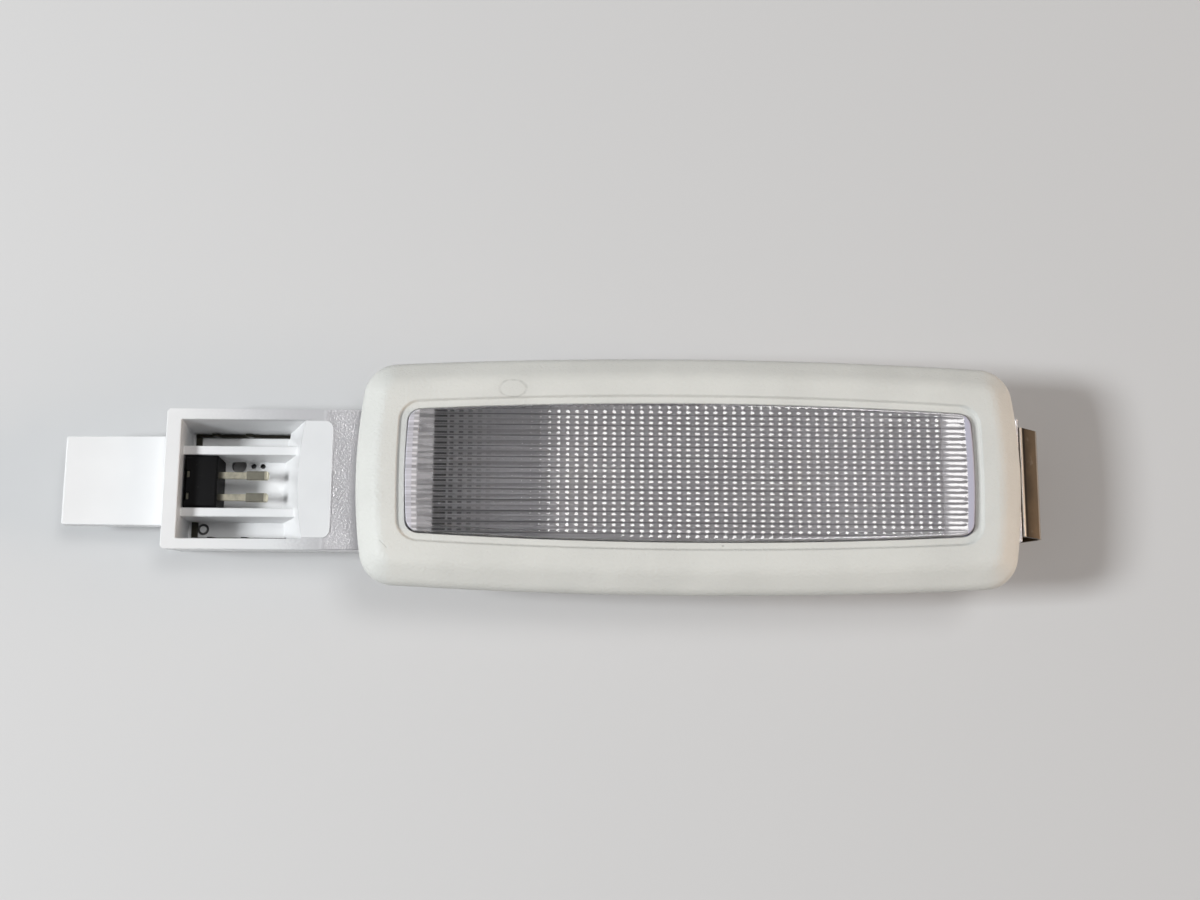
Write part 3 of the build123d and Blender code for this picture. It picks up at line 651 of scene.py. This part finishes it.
def housing_finish(settings):
    """White plastic, metallised in the reflector, with a soft overspray towards the socket and a far rim grey
    over most of its length. Painted shade and light: the pan's film darker towards the left and lighter
    towards the right, and the small holes and the ring's groove darkened.
    """
    # Half length, half width and height where the film in the pan and on the lens's seat ends
    pan = (43.97, 43.93), (10.62, 10.58), (-14.06, -14.03)
    seat = (46.4, 46.0), (12.6, 12.2), (0.2, 0.6)
    pad_corner, pad_round = (-58.1, 8.2), (1.27, 1.36)
    strip_start, strip_height = (-58.6, -57.6), (-6.5, -5.4)
    rim_height, near_rim_edge, far_rim_edge = (-6.2, -5.2), (-9.35, -9.6), (9.35, 9.6)
    near_spray, far_grey_span, spray_spread = (-67.0, -57.5), (-84.0, -60.0), 5.0
    ring_place, ring_radius, ring_height = (-78.8, -6.9), 0.75, (-13.9, -14.05)
    holes_place, holes_height, back_height = (-71.5, 3.75), (-14.02, -14.1), (-15.55, -15.45)
    # Where the pan's film turns from painted shade at the left to painted light at the right
    pan_left, pan_middle = (-40.0, -34.0), (-26.0, -20.0)
    f = Finish("housing_white")
    cloud = f.noise(0.12, 3.0)
    grain = f.noise(6.0, 2.0)
    spray = f.x + (f.noise(2.2, 3.0) - 0.5) * spray_spread
    past_x = (f.x - pad_corner[0]).most(0.0)
    past_y = (abs(f.y) - pad_corner[1]).most(0.0)
    past_pad = (past_x * past_x + past_y * past_y) ** 0.5
    strip = past_pad.fade(*pad_round) * f.x.fade(*strip_start) * f.z.fade(*strip_height)
    inside = f.within(*pan).most(f.within(*seat))
    film = inside.most(strip)
    near_rim = spray.fade(*near_spray) * f.y.fade(*near_rim_edge)
    # The far rim turns grey from further left than the near rim, over most of its length
    far_rim = spray.fade(*far_grey_span) * f.y.fade(*far_rim_edge)
    dull = near_rim.most(far_rim) * f.z.fade(*rim_height)
    # Painted shade: the moulded ring's groove and the small holes are darkened
    ring = abs(f.distance(ring_place) - ring_radius).fade(0.24, 0.16) * f.z.fade(*ring_height)
    holes = abs(f.y - holes_place[1]).fade(1.4, 1.2) * abs(f.x - holes_place[0]).fade(3.4, 3.2)
    shade = ring.most(holes * f.z.fade(*holes_height)) * f.z.fade(*back_height)
    silver = settings.mirror
    white = f.blend(cloud.fade(0.3, 0.7), toned(settings.plastic, 0.98), toned(settings.plastic, 1.015))
    white = f.blend(dull * 0.85, white, toned(silver, 0.62))
    # Painted shade and light: the pan's film is darker towards the left end and lighter towards the right
    painted_pan_shade = f.blend(f.x.fade(*pan_left), toned(silver, 0.72), toned(silver, 0.98))
    depth = f.blend(f.x.fade(*pan_middle), painted_pan_shade, toned(silver, 1.12))
    colour = f.blend(film, white, f.blend(inside, toned(silver, 1.2), depth))
    colour = f.blend(shade * 0.9, colour, settings.shade)
    roughness = 0.36 + (cloud - 0.5) * 0.1 + (grain - 0.5) * 0.08
    roughness = roughness - film * 0.04 - strip * 0.02 + inside * 0.26
    normal = f.bump(grain + strip * f.noise(3.0, 2.0) * 13.0, 0.02, 0.25)
    return f.close(base_color=colour, roughness=roughness, metallic=film, normal=normal)


def block_finish(settings):
    """Black moulding with fine grain and a little dust."""
    f = Finish("block_black")
    grain = f.noise(7.0, 2.0)
    dust = f.noise(1.6, 4.0).fade(0.62, 0.8)
    colour = f.blend(dust * 0.1, settings.block, settings.dust)
    roughness = 0.42 + grain * 0.18 + dust * 0.2
    normal = f.bump(grain, 0.02, 0.3)
    return f.close(base_color=colour, roughness=roughness, normal=normal, specular_ior_level=0.15)


def contact_finish(settings):
    """Plated strip with stamping lines and a duller face on the pins' tabs, with painted shade: dark roots
    where the block shades the pins, and dark rails deep in the pocket.
    """
    tab_start, tab_end, tab_face = (-71.2, -71.0), (-68.1, -68.3), (-8.83, -8.79)
    rail_side, rail_height, root_edge = (5.0, 6.0), (-9.5, -10.5), (-74.4, -75.4)
    f = Finish("contact_metal")
    lines = f.noise(5.0, 2.0, (0.12, 1.0, 1.0))
    tarnish = f.noise(0.7, 3.0).fade(0.35, 0.75)
    tab = f.x.fade(*tab_start) * f.x.fade(*tab_end) * f.z.fade(*tab_face)
    # Painted shade: the rails deep in the pocket and the pins' roots by the block are darkened
    rail_shade = abs(f.y).fade(*rail_side) * f.z.fade(*rail_height)
    root_shadow = f.x.fade(*root_edge)
    dark = (tarnish * 0.5).most(rail_shade).most(root_shadow * 0.85)
    strip = f.blend(dark, settings.strip, toned(settings.strip, 0.04))
    colour = f.blend(tab * 0.9, strip, settings.tab)
    roughness = 0.24 + lines * 0.16 + tarnish * 0.08 + tab * 0.15
    return f.close(base_color=colour, metallic=1.0, roughness=roughness, normal=f.bump(lines, 0.01, 0.4))


def glass_finish(settings):
    """Clear glass with faint drawn streaks."""
    f = Finish("bulb_glass")
    streaks = f.noise(0.8, 2.0, (0.1, 1.0, 1.0))
    roughness = 0.01 + streaks * 0.02
    return f.close(base_color=(*settings.glass, 1.0), roughness=roughness, transmission_weight=1.0, ior=1.5)


def cap_finish(settings):
    """Nickel plate with turning marks."""
    f = Finish("bulb_cap")
    turning = f.noise(6.0, 2.0, (1.0, 0.05, 0.05))
    stain = f.noise(0.5, 3.0).fade(0.4, 0.75)
    colour = f.blend(stain * 0.4, settings.cap, toned(settings.cap, 0.7))
    return f.close(base_color=colour, metallic=1.0, roughness=0.18 + turning * 0.14 + stain * 0.1)


def filament_finish(settings):
    """Dull drawn wire."""
    f = Finish("filament_wire")
    drawn = f.noise(9.0, 2.0)
    colour = f.blend(drawn, toned(settings.filament, 0.8), toned(settings.filament, 1.2))
    return f.close(base_color=colour, metallic=1.0, roughness=0.35 + drawn * 0.15)


def clip_finish(settings):
    """Tempered strip: brown in broad bands, greyer where it is rubbed, with rolling lines."""
    foot_edge, tip_edge, bend = (53.6, 53.3), (56.1, 56.5), 53.75
    brown_band = (53.4, 56.2)
    f = Finish("spring_steel")
    lines = f.noise(3.5, 3.0, (1.0, 0.06, 1.0))
    cloud = f.noise(0.22, 3.0)
    specks = f.noise(0.5, 4.0).fade(0.62, 0.8) * 0.12
    rubbed = f.x.fade(*foot_edge).most(f.x.fade(*tip_edge)).most(specks)
    line = abs(f.x - bend).fade(0.3, 0.1)
    band = (f.x + (cloud - 0.5) * 2.0).fade(*brown_band)
    brown = f.blend(band, toned(settings.bronze, 0.5), toned(settings.bronze, 1.5))
    colour = f.blend(line * 0.8, f.blend(rubbed, brown, settings.steel), toned(settings.bronze, 0.15))
    roughness = 0.28 + lines * 0.2 + (cloud - 0.5) * 0.1
    return f.close(base_color=colour, metallic=1.0, roughness=roughness, normal=f.bump(lines, 0.012, 0.4))


def floor_finish(settings):
    """Plain pale floor, which takes the backdrop's tone far from the lamp."""
    far_edge = (150.0, 600.0)
    f = Finish("pale_floor")
    cloud = f.noise(0.01, 2.0)
    colour = f.blend(cloud, toned(settings.floor, 0.99), toned(settings.floor, 1.01))
    near = f.shader(base_color=colour, roughness=0.85, specular_ior_level=0.2)
    far = f.node("ShaderNodeEmission", {}, {"Color": (*settings.backdrop, 1.0)})
    seen = f.distance((0.0, 0.0)).fade(*far_edge) * f.ray("Camera", "Glossy", "Transmission")
    return f.end(f.node("ShaderNodeMixShader", {}, {0: seen, 1: near, 2: far}))


# Pieces

class ROOFLAMP_OT_bezel(Operator):
    """Makes the bezel from its section, carried round the outline of the skirt and of the window"""

    bl_idname = "roof_lamp.bezel"
    bl_label = "Bezel"

    band_run = 1.2 * MM

    def section(self, context):
        """Rings of the section: those drawn in from the skirt, then those grown from the lens."""
        b = context.scene.roof_lamp_bezel
        soft = b.soft
        plate = b.height - b.wall
        lip = b.height - b.lip_drop
        step = b.gap + b.lip_width
        foot, skirt, brow = (0, 0), (0, b.skirt), (b.slope, b.height)
        band, hollow, heel = (b.slope + self.band_run, b.height), (b.wall, b.hollow), (b.wall, 0)
        crest, ledge, rim, under = (step + b.lip_slant, b.height), (step, lip), (b.gap, lip), (b.gap, plate)
        # Points a metre along, which only give a direction
        past_crest, past_under = (step + 1, b.height), (b.gap + 1, plate)
        outer = arc(heel, foot, skirt, soft, count=4)
        outer += arc(foot, skirt, brow, b.shoulder, count=10)
        outer += arc(skirt, brow, band, b.brow, count=8)
        outer += [Vector(band)]
        window = arc(past_crest, crest, ledge, 2 * soft, count=5)
        window += arc(crest, ledge, rim, 2 * soft, count=5)
        window += arc(ledge, rim, under, soft, count=4)
        window += arc(rim, under, past_under, soft / 2, count=3)
        inner = [Vector((b.slope, plate))]
        inner += arc((b.slope, plate), hollow, heel, soft, count=3)
        inner += arc(hollow, heel, foot, soft, count=4)
        return outer, window, inner

    def execute(self, context):
        b = context.scene.roof_lamp_bezel
        points, normals = Outline(b.half_length, b.half_width, b.end_bow, b.side_bow, b.corner).ring()
        outer, window, inner = self.section(context)
        rings = [(points - normals * p.x, p.y) for p in outer]
        rings += [(lens_outline(context, p.x).ring()[0], p.y) for p in window]
        rings += [(points - normals * p.x, p.y) for p in inner]
        count = len(points)
        vertices = [(x, y, z) for ring, z in rings for x, y in ring]
        faces = []
        for k in range(len(rings)):
            faces += ring_faces(k * count, (k + 1) % len(rings) * count, count)
        bezel = smooth(new_piece("bezel_frame", vertices, faces), angle=40)
        finish = bezel_finish(b)
        dress(bezel, finish, "lamp", "bezel_plastic", "bezel")
        self.hooks(b, finish)
        return {"FINISHED"}

    def hooks(self, b, finish):
        """Snap hooks, set on four points by a geometry tree."""
        top = b.height - b.wall
        foot = BEZEL_LOW.z
        nose = foot + b.hook_nose
        profile = [(0, top), (0, nose), (-b.hook_bite, nose - b.hook_slant), (0, foot),
                   (b.hook_thickness, foot), (b.hook_thickness, top)]
        half = b.hook_length / 2
        vertices = [(x, y, z) for x in (-half, half) for y, z in profile]
        count = len(profile)
        ends = [tuple(range(count))[::-1], tuple(range(count, 2 * count))]
        hook = new_piece("snap_hook", vertices, ring_faces(0, count, count) + ends)
        bevel = hook.modifiers.new("soft edges", "BEVEL")
        bevel.width = b.hook_soft
        bevel.segments = 2
        settled(hook)
        made = bmesh.new()
        made.from_mesh(hook.data)
        bmesh.ops.recalc_face_normals(made, faces=made.faces)
        made.to_mesh(hook.data)
        made.free()
        nodes, given = geometry_tree("snap hooks", "Spacing", "Reach", Hook="Object")
        shape = nodes.node("GeometryNodeObjectInfo", {}, {"Object": given["Hook"]}, "Geometry")
        copies = nodes.tree.nodes.new("GeometryNodeJoinGeometry")
        for side in (1, -1):
            for end in (1, -1):
                spot = nodes.node("ShaderNodeCombineXYZ", {}, {
                    "X": given["Spacing"] * (0.5 * end), "Y": given["Reach"] * side})
                turn = (0.0, 0.0, 0.0 if side > 0 else pi)
                copy = nodes.node("GeometryNodeTransform", {}, {
                    "Geometry": shape, "Translation": spot, "Rotation": turn})
                nodes.tree.links.new(copy.socket, copies.inputs[0])
        end_tree(nodes, Value(nodes, copies.outputs[0]), given["Material"])
        hooks = grown(new_piece("bezel_hooks"), nodes, {
            "Hook": hook, "Spacing": b.hook_spacing, "Reach": b.hook_reach, "Material": finish})
        bpy.data.objects.remove(hook)
        dress(smooth(hooks, angle=40), finish, "lamp", "bezel_plastic")


class ROOFLAMP_OT_lens(Operator):
    """Makes the lens: a smooth rim and tray, with reeds above and flutes below by a geometry tree"""

    bl_idname = "roof_lamp.lens"
    bl_label = "Lens"

    masks = ("reed_mask", "crown_mask", "flute_mask", "pillow_mask")
    low_end = -23.5 * MM
    end_rim = 0.6 * MM
    hair = 0.02 * MM
    small = 0.1 * MM
    same_place = 0.001 * MM
    face_ramp = 0.25 * MM
    flute_ramp = 0.8 * MM
    low_ramp = 5.5 * MM
    valley_share = 0.02
    end_share = 0.1
    # A whole number of reeds, added so that their count stays above zero
    whole_reeds = 100.0
    reed_steps = 5
    corner_steps = 9
    flute_steps = 8
    end_steps = 8

    def grid(self, context, inset):
        """Grid over the face inside its smooth edge, and the normals round it."""
        lens = context.scene.roof_lamp_lens
        outline = lens_outline(context, -inset)
        half_reach = lens.reed_count * lens.reed_pitch / 2
        xs = np.linspace(-half_reach, half_reach, lens.reed_count * self.reed_steps + 1)
        end_rows = int(2 * (LENS_HIGH.y - lens.flange) / lens.flute_pitch * self.flute_steps)
        angles = np.linspace(-outline.end_angle, outline.end_angle, end_rows + 1)
        corner, corner_normals = outline.corner_points(self.corner_steps)
        first, first_normals = outline.side_points(np.array([outline.side_angle]))
        upper = np.concatenate([corner, first])
        upper_normals = np.concatenate([corner_normals, first_normals])
        end, end_normals = outline.end_points(angles)
        flip = np.array([1, -1])
        end = np.concatenate([upper[::-1] * flip, end, upper])
        end_normals = np.concatenate([upper_normals[::-1] * flip, end_normals, upper_normals])
        shares = (end[:, 1] - end[0, 1]) / (end[-1, 1] - end[0, 1])
        edge = np.sqrt(outline.side_radius ** 2 - xs ** 2) + outline.side_centre
        body = np.stack([np.repeat(xs[:, None], len(shares), 1), edge[:, None] * (2 * shares - 1)], 2)
        steps = np.linspace(0, 1, self.end_steps + 1)[1:, None, None]
        mirror = np.array([-1, 1])
        right = body[-1] + (end - body[-1]) * steps
        left = (body[0] + (end * mirror - body[0]) * steps)[::-1]
        grid = np.concatenate([left, body, right])
        side = np.stack([grid[:, -1, 0] / outline.side_radius, np.ones(len(grid))], 1)
        side /= np.linalg.norm(side, axis=1)[:, None]
        return grid, side, end_normals

    def execute(self, context):
        lens = context.scene.roof_lamp_lens
        face = self.grid(context, lens.rim)[0]
        grid, side_normals, end_normals = self.grid(context, lens.wall)
        columns, rows = grid.shape[0] - 1, grid.shape[1] - 1
        flip, mirror = np.array([1, -1]), np.array([-1, 1])
        cells = [(i, 0) for i in range(columns)] + [(columns, j) for j in range(rows)]
        cells += [(i, rows) for i in range(columns, 0, -1)] + [(0, j) for j in range(rows, 0, -1)]
        normals = np.concatenate([side_normals[:-1] * flip, end_normals[:-1],
                                  side_normals[:0:-1], end_normals[:0:-1] * mirror])
        edge = np.array([grid[cell] for cell in cells])
        top = LENS_HIGH.z
        base = LENS_LOW.z + self.hair
        flange_top = LENS_LOW.z + lens.flange_height - self.hair
        reach = lens.wall + lens.flange
        section = arc((0, top), (lens.wall, top), (lens.wall, base), lens.edge, count=6)
        section += arc((lens.wall, top), (lens.wall, flange_top), (reach, flange_top), self.small, count=3)
        section += arc((lens.wall, flange_top), (reach, flange_top), (reach, base), self.small, count=3)
        section += arc((reach, flange_top), (reach, base), (0, base), self.small, count=3)
        section += arc((reach, base), (0, base), (0, top), self.small, count=3)
        ceiling = top - lens.face
        upper, under = face.reshape(-1, 2), grid.reshape(-1, 2)
        vertices = [(x, y, top) for x, y in upper] + [(x, y, ceiling) for x, y in under]
        vertices += [(*(p + n * s.x), s.y) for s in section for p, n in zip(edge, normals)]
        faces = self.faces(columns, rows, cells, len(section))
        body = new_piece("lens_body", vertices, faces)
        self.mark(body, upper, under, context)
        finish = lens_finish(lens)
        obj = grown(body, self.ripples(), {
            "Reed Pitch": lens.reed_pitch, "Reed Height": lens.reed_height, "Crown Height": lens.crown_height,
            "Flute Pitch": lens.flute_pitch, "Flute Height": lens.flute_height,
            "Pillow Height": lens.pillow_height, "Material": finish})
        for name in self.masks:
            obj.data.attributes.remove(obj.data.attributes[name])
        self.crease(smooth(obj, angle=40), lens)
        dress(obj, finish, "lamp", "lens_clear", "lens")
        return {"FINISHED"}

    def crease(self, obj, lens):
        """Keeps the valleys between the reeds sharp."""
        mesh = obj.data
        places = np.empty(len(mesh.vertices) * 3, np.float32)
        mesh.vertices.foreach_get("co", places)
        ends = np.empty(len(mesh.edges) * 2, np.int32)
        mesh.edges.foreach_get("vertices", ends)
        ends = ends.reshape(-1, 2)
        x, _, z = places.reshape(-1, 3).T
        turns = x / lens.reed_pitch
        valley = (np.abs(turns - np.round(turns)) < self.valley_share) & (z > LENS_HIGH.z - lens.face / 2)
        valley &= np.abs(turns) < lens.reed_count / 2 + self.end_share
        along = np.abs(x[ends[:, 0]] - x[ends[:, 1]]) < self.same_place
        layer = mesh.attributes["sharp_edge"]
        sharp = np.empty(len(mesh.edges), bool)
        layer.data.foreach_get("value", sharp)
        layer.data.foreach_set("value", sharp | (along & valley[ends].all(1)))

    def faces(self, columns, rows, cells, sections):
        """Faces of the upper sheet, the lower sheet and the wall that joins them."""
        across = rows + 1
        lower = (columns + 1) * across
        faces = []
        for i in range(columns):
            for j in range(rows):
                a = i * across + j
                faces.append((a, a + across, a + across + 1, a + 1))
                faces.append((lower + a, lower + a + 1, lower + a + across + 1, lower + a + across))
        loop = [i * across + j for i, j in cells]
        count = len(loop)
        rings = [loop]
        rings += [[2 * lower + k * count + i for i in range(count)] for k in range(sections)]
        rings += [[lower + v for v in loop]]
        for upper, under in zip(rings, rings[1:]):
            for i in range(count):
                j = (i + 1) % count
                faces.append((upper[i], under[i], under[j], upper[j]))
        return faces

    def to_edge(self, context, sheet, inset):
        """How far the points of a sheet lie inside its edge."""
        outline = lens_outline(context, -inset)
        x, y = np.abs(sheet.T)
        to_side = np.sqrt(outline.side_radius ** 2 - x ** 2) + outline.side_centre - y
        to_end = np.sqrt(outline.end_radius ** 2 - y ** 2) + outline.end_centre - x
        return to_side, to_end

    def mark(self, body, upper, under, context):
        """Writes where the reeds, crowns, flutes and pillows have their full height."""
        lens = context.scene.roof_lamp_lens
        half_reach = lens.reed_count * lens.reed_pitch / 2 + self.same_place
        count = len(upper)
        to_side, to_end = self.to_edge(context, upper, lens.rim)
        over = np.clip(np.minimum(to_side, to_end - self.end_rim) / self.face_ramp, 0, 1)
        below = np.clip(np.minimum(*self.to_edge(context, under, lens.wall)) / self.flute_ramp, 0, 1)
        low = np.clip((np.stack([upper[:, 0], under[:, 0]]) - self.low_end) / self.low_ramp, 0, 1)
        low = lens.low_reeds + (1 - lens.low_reeds) * low
        values = np.zeros((len(self.masks), len(body.data.vertices)), np.float32)
        values[0, :count] = (np.abs(upper[:, 0]) < half_reach) * over * low[0]
        values[1, :count] = over
        values[2, count:2 * count] = below
        values[3, count:2 * count] = below * low[1]
        for name, row in zip(self.masks, values):
            body.data.attributes.new(name, "FLOAT", "POINT").data.foreach_set("value", row)

    def ripples(self):
        """Tree that shapes the reeds, crowns, flutes and pillows, each by its mask."""
        nodes, given = geometry_tree("lens ripples", "Reed Pitch", "Reed Height", "Crown Height",
                                     "Flute Pitch", "Flute Height", "Pillow Height")
        x, y, _ = nodes.parts(nodes.node("GeometryNodeInputPosition", {}, {}))
        reeds, crowns, flutes, pillows = [
            nodes.node("GeometryNodeInputNamedAttribute", {"data_type": "FLOAT"}, {"Name": name})
            for name in self.masks]
        across = nodes.maths("FRACT", x / given["Reed Pitch"] + self.whole_reeds) * 2 - 1
        reed = across * across * given["Reed Height"] * reeds
        wave = nodes.maths("COSINE", y / given["Flute Pitch"] * (2 * pi))
        crown = (1 - wave) * 0.5 * given["Crown Height"] * crowns
        flute = wave * 0.5 * given["Flute Height"] * flutes
        pillow = across * across * given["Pillow Height"] * pillows
        offset = nodes.node("ShaderNodeCombineXYZ", {}, {"Z": pillow - reed - crown - flute})
        moved = nodes.node("GeometryNodeSetPosition", {}, {"Geometry": given["Geometry"], "Offset": offset})
        end_tree(nodes, moved, given["Material"])
        return nodes


class ROOFLAMP_OT_housing(Operator):
    """Makes the housing from its CAD form, with soft moulded edges"""

    bl_idname = "roof_lamp.housing"
    bl_label = "Housing"

    def execute(self, context):
        settings = context.scene.roof_lamp_housing
        shell = softened("housing", "housing_shell", settings.soft)
        dress(shell, housing_finish(settings), "lamp", "housing_white", "housing")
        return {"FINISHED"}


class ROOFLAMP_OT_contacts(Operator):
    """Makes the terminal block and the two contacts"""

    bl_idname = "roof_lamp.contacts"
    bl_label = "Contacts"

    def execute(self, context):
        settings = context.scene.roof_lamp_contacts
        block = softened("terminal_block", "header_block", settings.block_soft, shortest=0.4)
        dress(block, block_finish(settings), "lamp", "block_black", "terminal_block")
        finish = contact_finish(settings)
        for node, name in (("contact_far", "strip_far"), ("contact_near", "strip_near")):
            strip = softened(node, name, settings.strip_soft, shortest=0.3)
            dress(strip, finish, "lamp", "contact_metal", node)
        return {"FINISHED"}


class ROOFLAMP_OT_bulb(Operator):
    """Dresses the bulb's glass and caps and makes its coiled filament by a geometry tree"""

    bl_idname = "roof_lamp.bulb"
    bl_label = "Bulb"

    turn_steps = 14
    wire_sides = 8

    def execute(self, context):
        settings = context.scene.roof_lamp_bulb
        paint("bulb_glass", glass_finish(settings))
        cap = cap_finish(settings)
        for node in ("bulb_cap_left", "bulb_cap_right"):
            paint(node, cap)
        finish = filament_finish(settings)
        coil = grown(new_piece("filament_coil"), self.coil(), {
            "Turns": float(settings.turns), "Coil Radius": settings.coil, "Coil Length": settings.coil_length,
            "Reach": BULB_HIGH.x, "Axis Height": (BULB_LOW.z + BULB_HIGH.z) / 2, "Wire Radius": settings.wire,
            "Material": finish})
        dress(smooth(coil, angle=60), finish, "lamp", "filament_wire", "bulb_filament")
        return {"FINISHED"}

    def coil(self):
        """Tree that winds a coil along the bulb's axis and carries it to both ends by straight leads."""
        nodes, given = geometry_tree("filament coil", "Turns", "Coil Radius", "Coil Length", "Reach",
                                     "Axis Height", "Wire Radius")
        spiral = nodes.node("GeometryNodeCurveSpiral", {}, {
            "Resolution": self.turn_steps, "Rotations": given["Turns"], "Start Radius": given["Coil Radius"],
            "End Radius": given["Coil Radius"], "Height": given["Coil Length"]})
        start = nodes.node("ShaderNodeCombineXYZ", {}, {
            "X": given["Coil Length"] * -0.5, "Z": given["Axis Height"]})
        laid = nodes.node("GeometryNodeTransform", {}, {
            "Geometry": spiral, "Translation": start, "Rotation": (0.0, pi / 2, 0.0)})
        wires = nodes.tree.nodes.new("GeometryNodeJoinGeometry")
        nodes.tree.links.new(laid.socket, wires.inputs[0])
        for end in (1, -1):
            near = nodes.node("ShaderNodeCombineXYZ", {}, {
                "X": given["Coil Length"] * (0.5 * end), "Z": given["Axis Height"] - given["Coil Radius"]})
            far = nodes.node("ShaderNodeCombineXYZ", {}, {
                "X": given["Reach"] * end, "Z": given["Axis Height"]})
            lead = nodes.node("GeometryNodeCurvePrimitiveLine", {}, {"Start": near, "End": far})
            nodes.tree.links.new(lead.socket, wires.inputs[0])
        round_wire = nodes.node("GeometryNodeCurvePrimitiveCircle", {}, {
            "Resolution": self.wire_sides, "Radius": given["Wire Radius"]})
        drawn = nodes.node("GeometryNodeCurveToMesh", {}, {
            "Curve": Value(nodes, wires.outputs[0]), "Profile Curve": round_wire, "Fill Caps": True})
        end_tree(nodes, drawn, given["Material"])
        return nodes


class ROOFLAMP_OT_clip(Operator):
    """Makes the spring clip, which moves on its own body"""

    bl_idname = "roof_lamp.clip"
    bl_label = "Spring Clip"

    def execute(self, context):
        settings = context.scene.roof_lamp_clip
        leaf = softened("spring_clip", "clip_leaf", settings.soft, shortest=0.2)
        dress(leaf, clip_finish(settings), "clip", "spring_steel", "spring_clip")
        return {"FINISHED"}


class ROOFLAMP_OT_stage(Operator):
    """Sets the floor, the soft light and the camera"""

    bl_idname = "roof_lamp.stage"
    bl_label = "Stage"

    low_sky = (0.35, 0.2)

    def execute(self, context):
        settings = context.scene.roof_lamp_stage
        reach, level = settings.floor_reach, HOUSING_LOW.z
        signs = ((-1, -1), (1, -1), (1, 1), (-1, 1))
        floor = new_piece("floor", [(x * reach, y * reach, level) for x, y in signs], [(0, 1, 2, 3)])
        floor.data.materials.append(floor_finish(settings))
        for name in ("key", "fill", "side"):
            self.light(context, settings, name)
        self.sky(context, settings)
        self.camera(context, settings)
        context.scene.view_settings.view_transform = "Standard"
        return {"FINISHED"}

    def light(self, context, settings, name):
        """Soft square light that faces the lamp."""
        lamp = bpy.data.lights.new(name + "_light", "AREA")
        lamp.color = getattr(settings, name + "_tone")
        lamp.shape = "SQUARE"
        lamp.size = getattr(settings, name + "_width")
        lamp.energy = getattr(settings, name + "_power")
        place = Vector(getattr(settings, name + "_place"))
        obj = bpy.data.objects.new(name + "_light", lamp)
        obj.location = place
        obj.rotation_euler = place.to_track_quat("Z", "Y").to_euler()
        context.scene.collection.objects.link(obj)

    def sky(self, context, settings):
        """Even light from all round, which shows the backdrop's tone where it is seen."""
        world = bpy.data.worlds.new("soft_sky")
        world.use_nodes = True
        nodes = Nodes(world.node_tree)
        height = nodes.parts(nodes.node("ShaderNodeTexCoord", {}, {}, "Generated"))[2]
        seen = nodes.ray("Camera").most(nodes.ray("Glossy", "Transmission") * height.fade(*self.low_sky))
        colour = nodes.blend(seen, settings.sky, settings.backdrop)
        nodes.tree.links.new(colour.socket, nodes.tree.nodes["Background"].inputs["Color"])
        context.scene.world = world

    def camera(self, context, settings):
        """Camera at the photograph's angle, found by fitting the lamp's outlines to it."""
        turn = Matrix.Rotation(settings.camera_pitch, 4, "X")
        turn = turn @ Matrix.Rotation(settings.camera_yaw, 4, "Y")
        turn = turn @ Matrix.Rotation(settings.camera_roll, 4, "Z")
        data = bpy.data.cameras.new("camera")
        data.lens = settings.lens
        data.sensor_width = settings.sensor
        data.sensor_fit = "HORIZONTAL"
        data.clip_start = settings.nearest
        data.clip_end = settings.farthest
        camera = bpy.data.objects.new("camera", data)
        camera.matrix_world = Matrix.Translation(settings.camera_place) @ turn
        context.scene.collection.objects.link(camera)
        context.scene.camera = camera


class ROOFLAMP_PT_panel(Panel):
    """Lists the lamp's settings and the steps that make it"""

    bl_idname = "ROOFLAMP_PT_panel"
    bl_label = "Roof Lamp"
    bl_space_type = "VIEW_3D"
    bl_region_type = "UI"
    bl_category = "Roof Lamp"

    def draw(self, context):
        for name, (settings, operators) in STEPS.items():
            box = self.layout.box()
            group = getattr(context.scene, "roof_lamp_" + name)
            for key in settings.__annotations__:
                box.prop(group, key)
            for operator in operators:
                box.operator(operator.bl_idname)


STEPS = {
    "bezel": (BezelSettings, (ROOFLAMP_OT_bezel,)),
    "lens": (LensSettings, (ROOFLAMP_OT_lens,)),
    "housing": (HousingSettings, (ROOFLAMP_OT_housing,)),
    "contacts": (ContactSettings, (ROOFLAMP_OT_contacts,)),
    "bulb": (BulbSettings, (ROOFLAMP_OT_bulb,)),
    "clip": (ClipSettings, (ROOFLAMP_OT_clip,)),
    "stage": (StageSettings, (ROOFLAMP_OT_stage,)),
}


def register():
    for name, (settings, operators) in STEPS.items():
        bpy.utils.register_class(settings)
        setattr(bpy.types.Scene, "roof_lamp_" + name, PointerProperty(type=settings))
        for operator in operators:
            bpy.utils.register_class(operator)
    bpy.utils.register_class(ROOFLAMP_PT_panel)


def unregister():
    bpy.utils.unregister_class(ROOFLAMP_PT_panel)
    for name, (settings, operators) in reversed(list(STEPS.items())):
        for operator in operators:
            bpy.utils.unregister_class(operator)
        delattr(bpy.types.Scene, "roof_lamp_" + name)
        bpy.utils.unregister_class(settings)


def main():
    register()
    bpy.ops.roof_lamp.bezel()
    bpy.ops.roof_lamp.lens()
    bpy.ops.roof_lamp.housing()
    bpy.ops.roof_lamp.contacts()
    bpy.ops.roof_lamp.bulb()
    bpy.ops.roof_lamp.clip()
    bpy.ops.roof_lamp.stage()


if __name__ == "__main__":
    main()
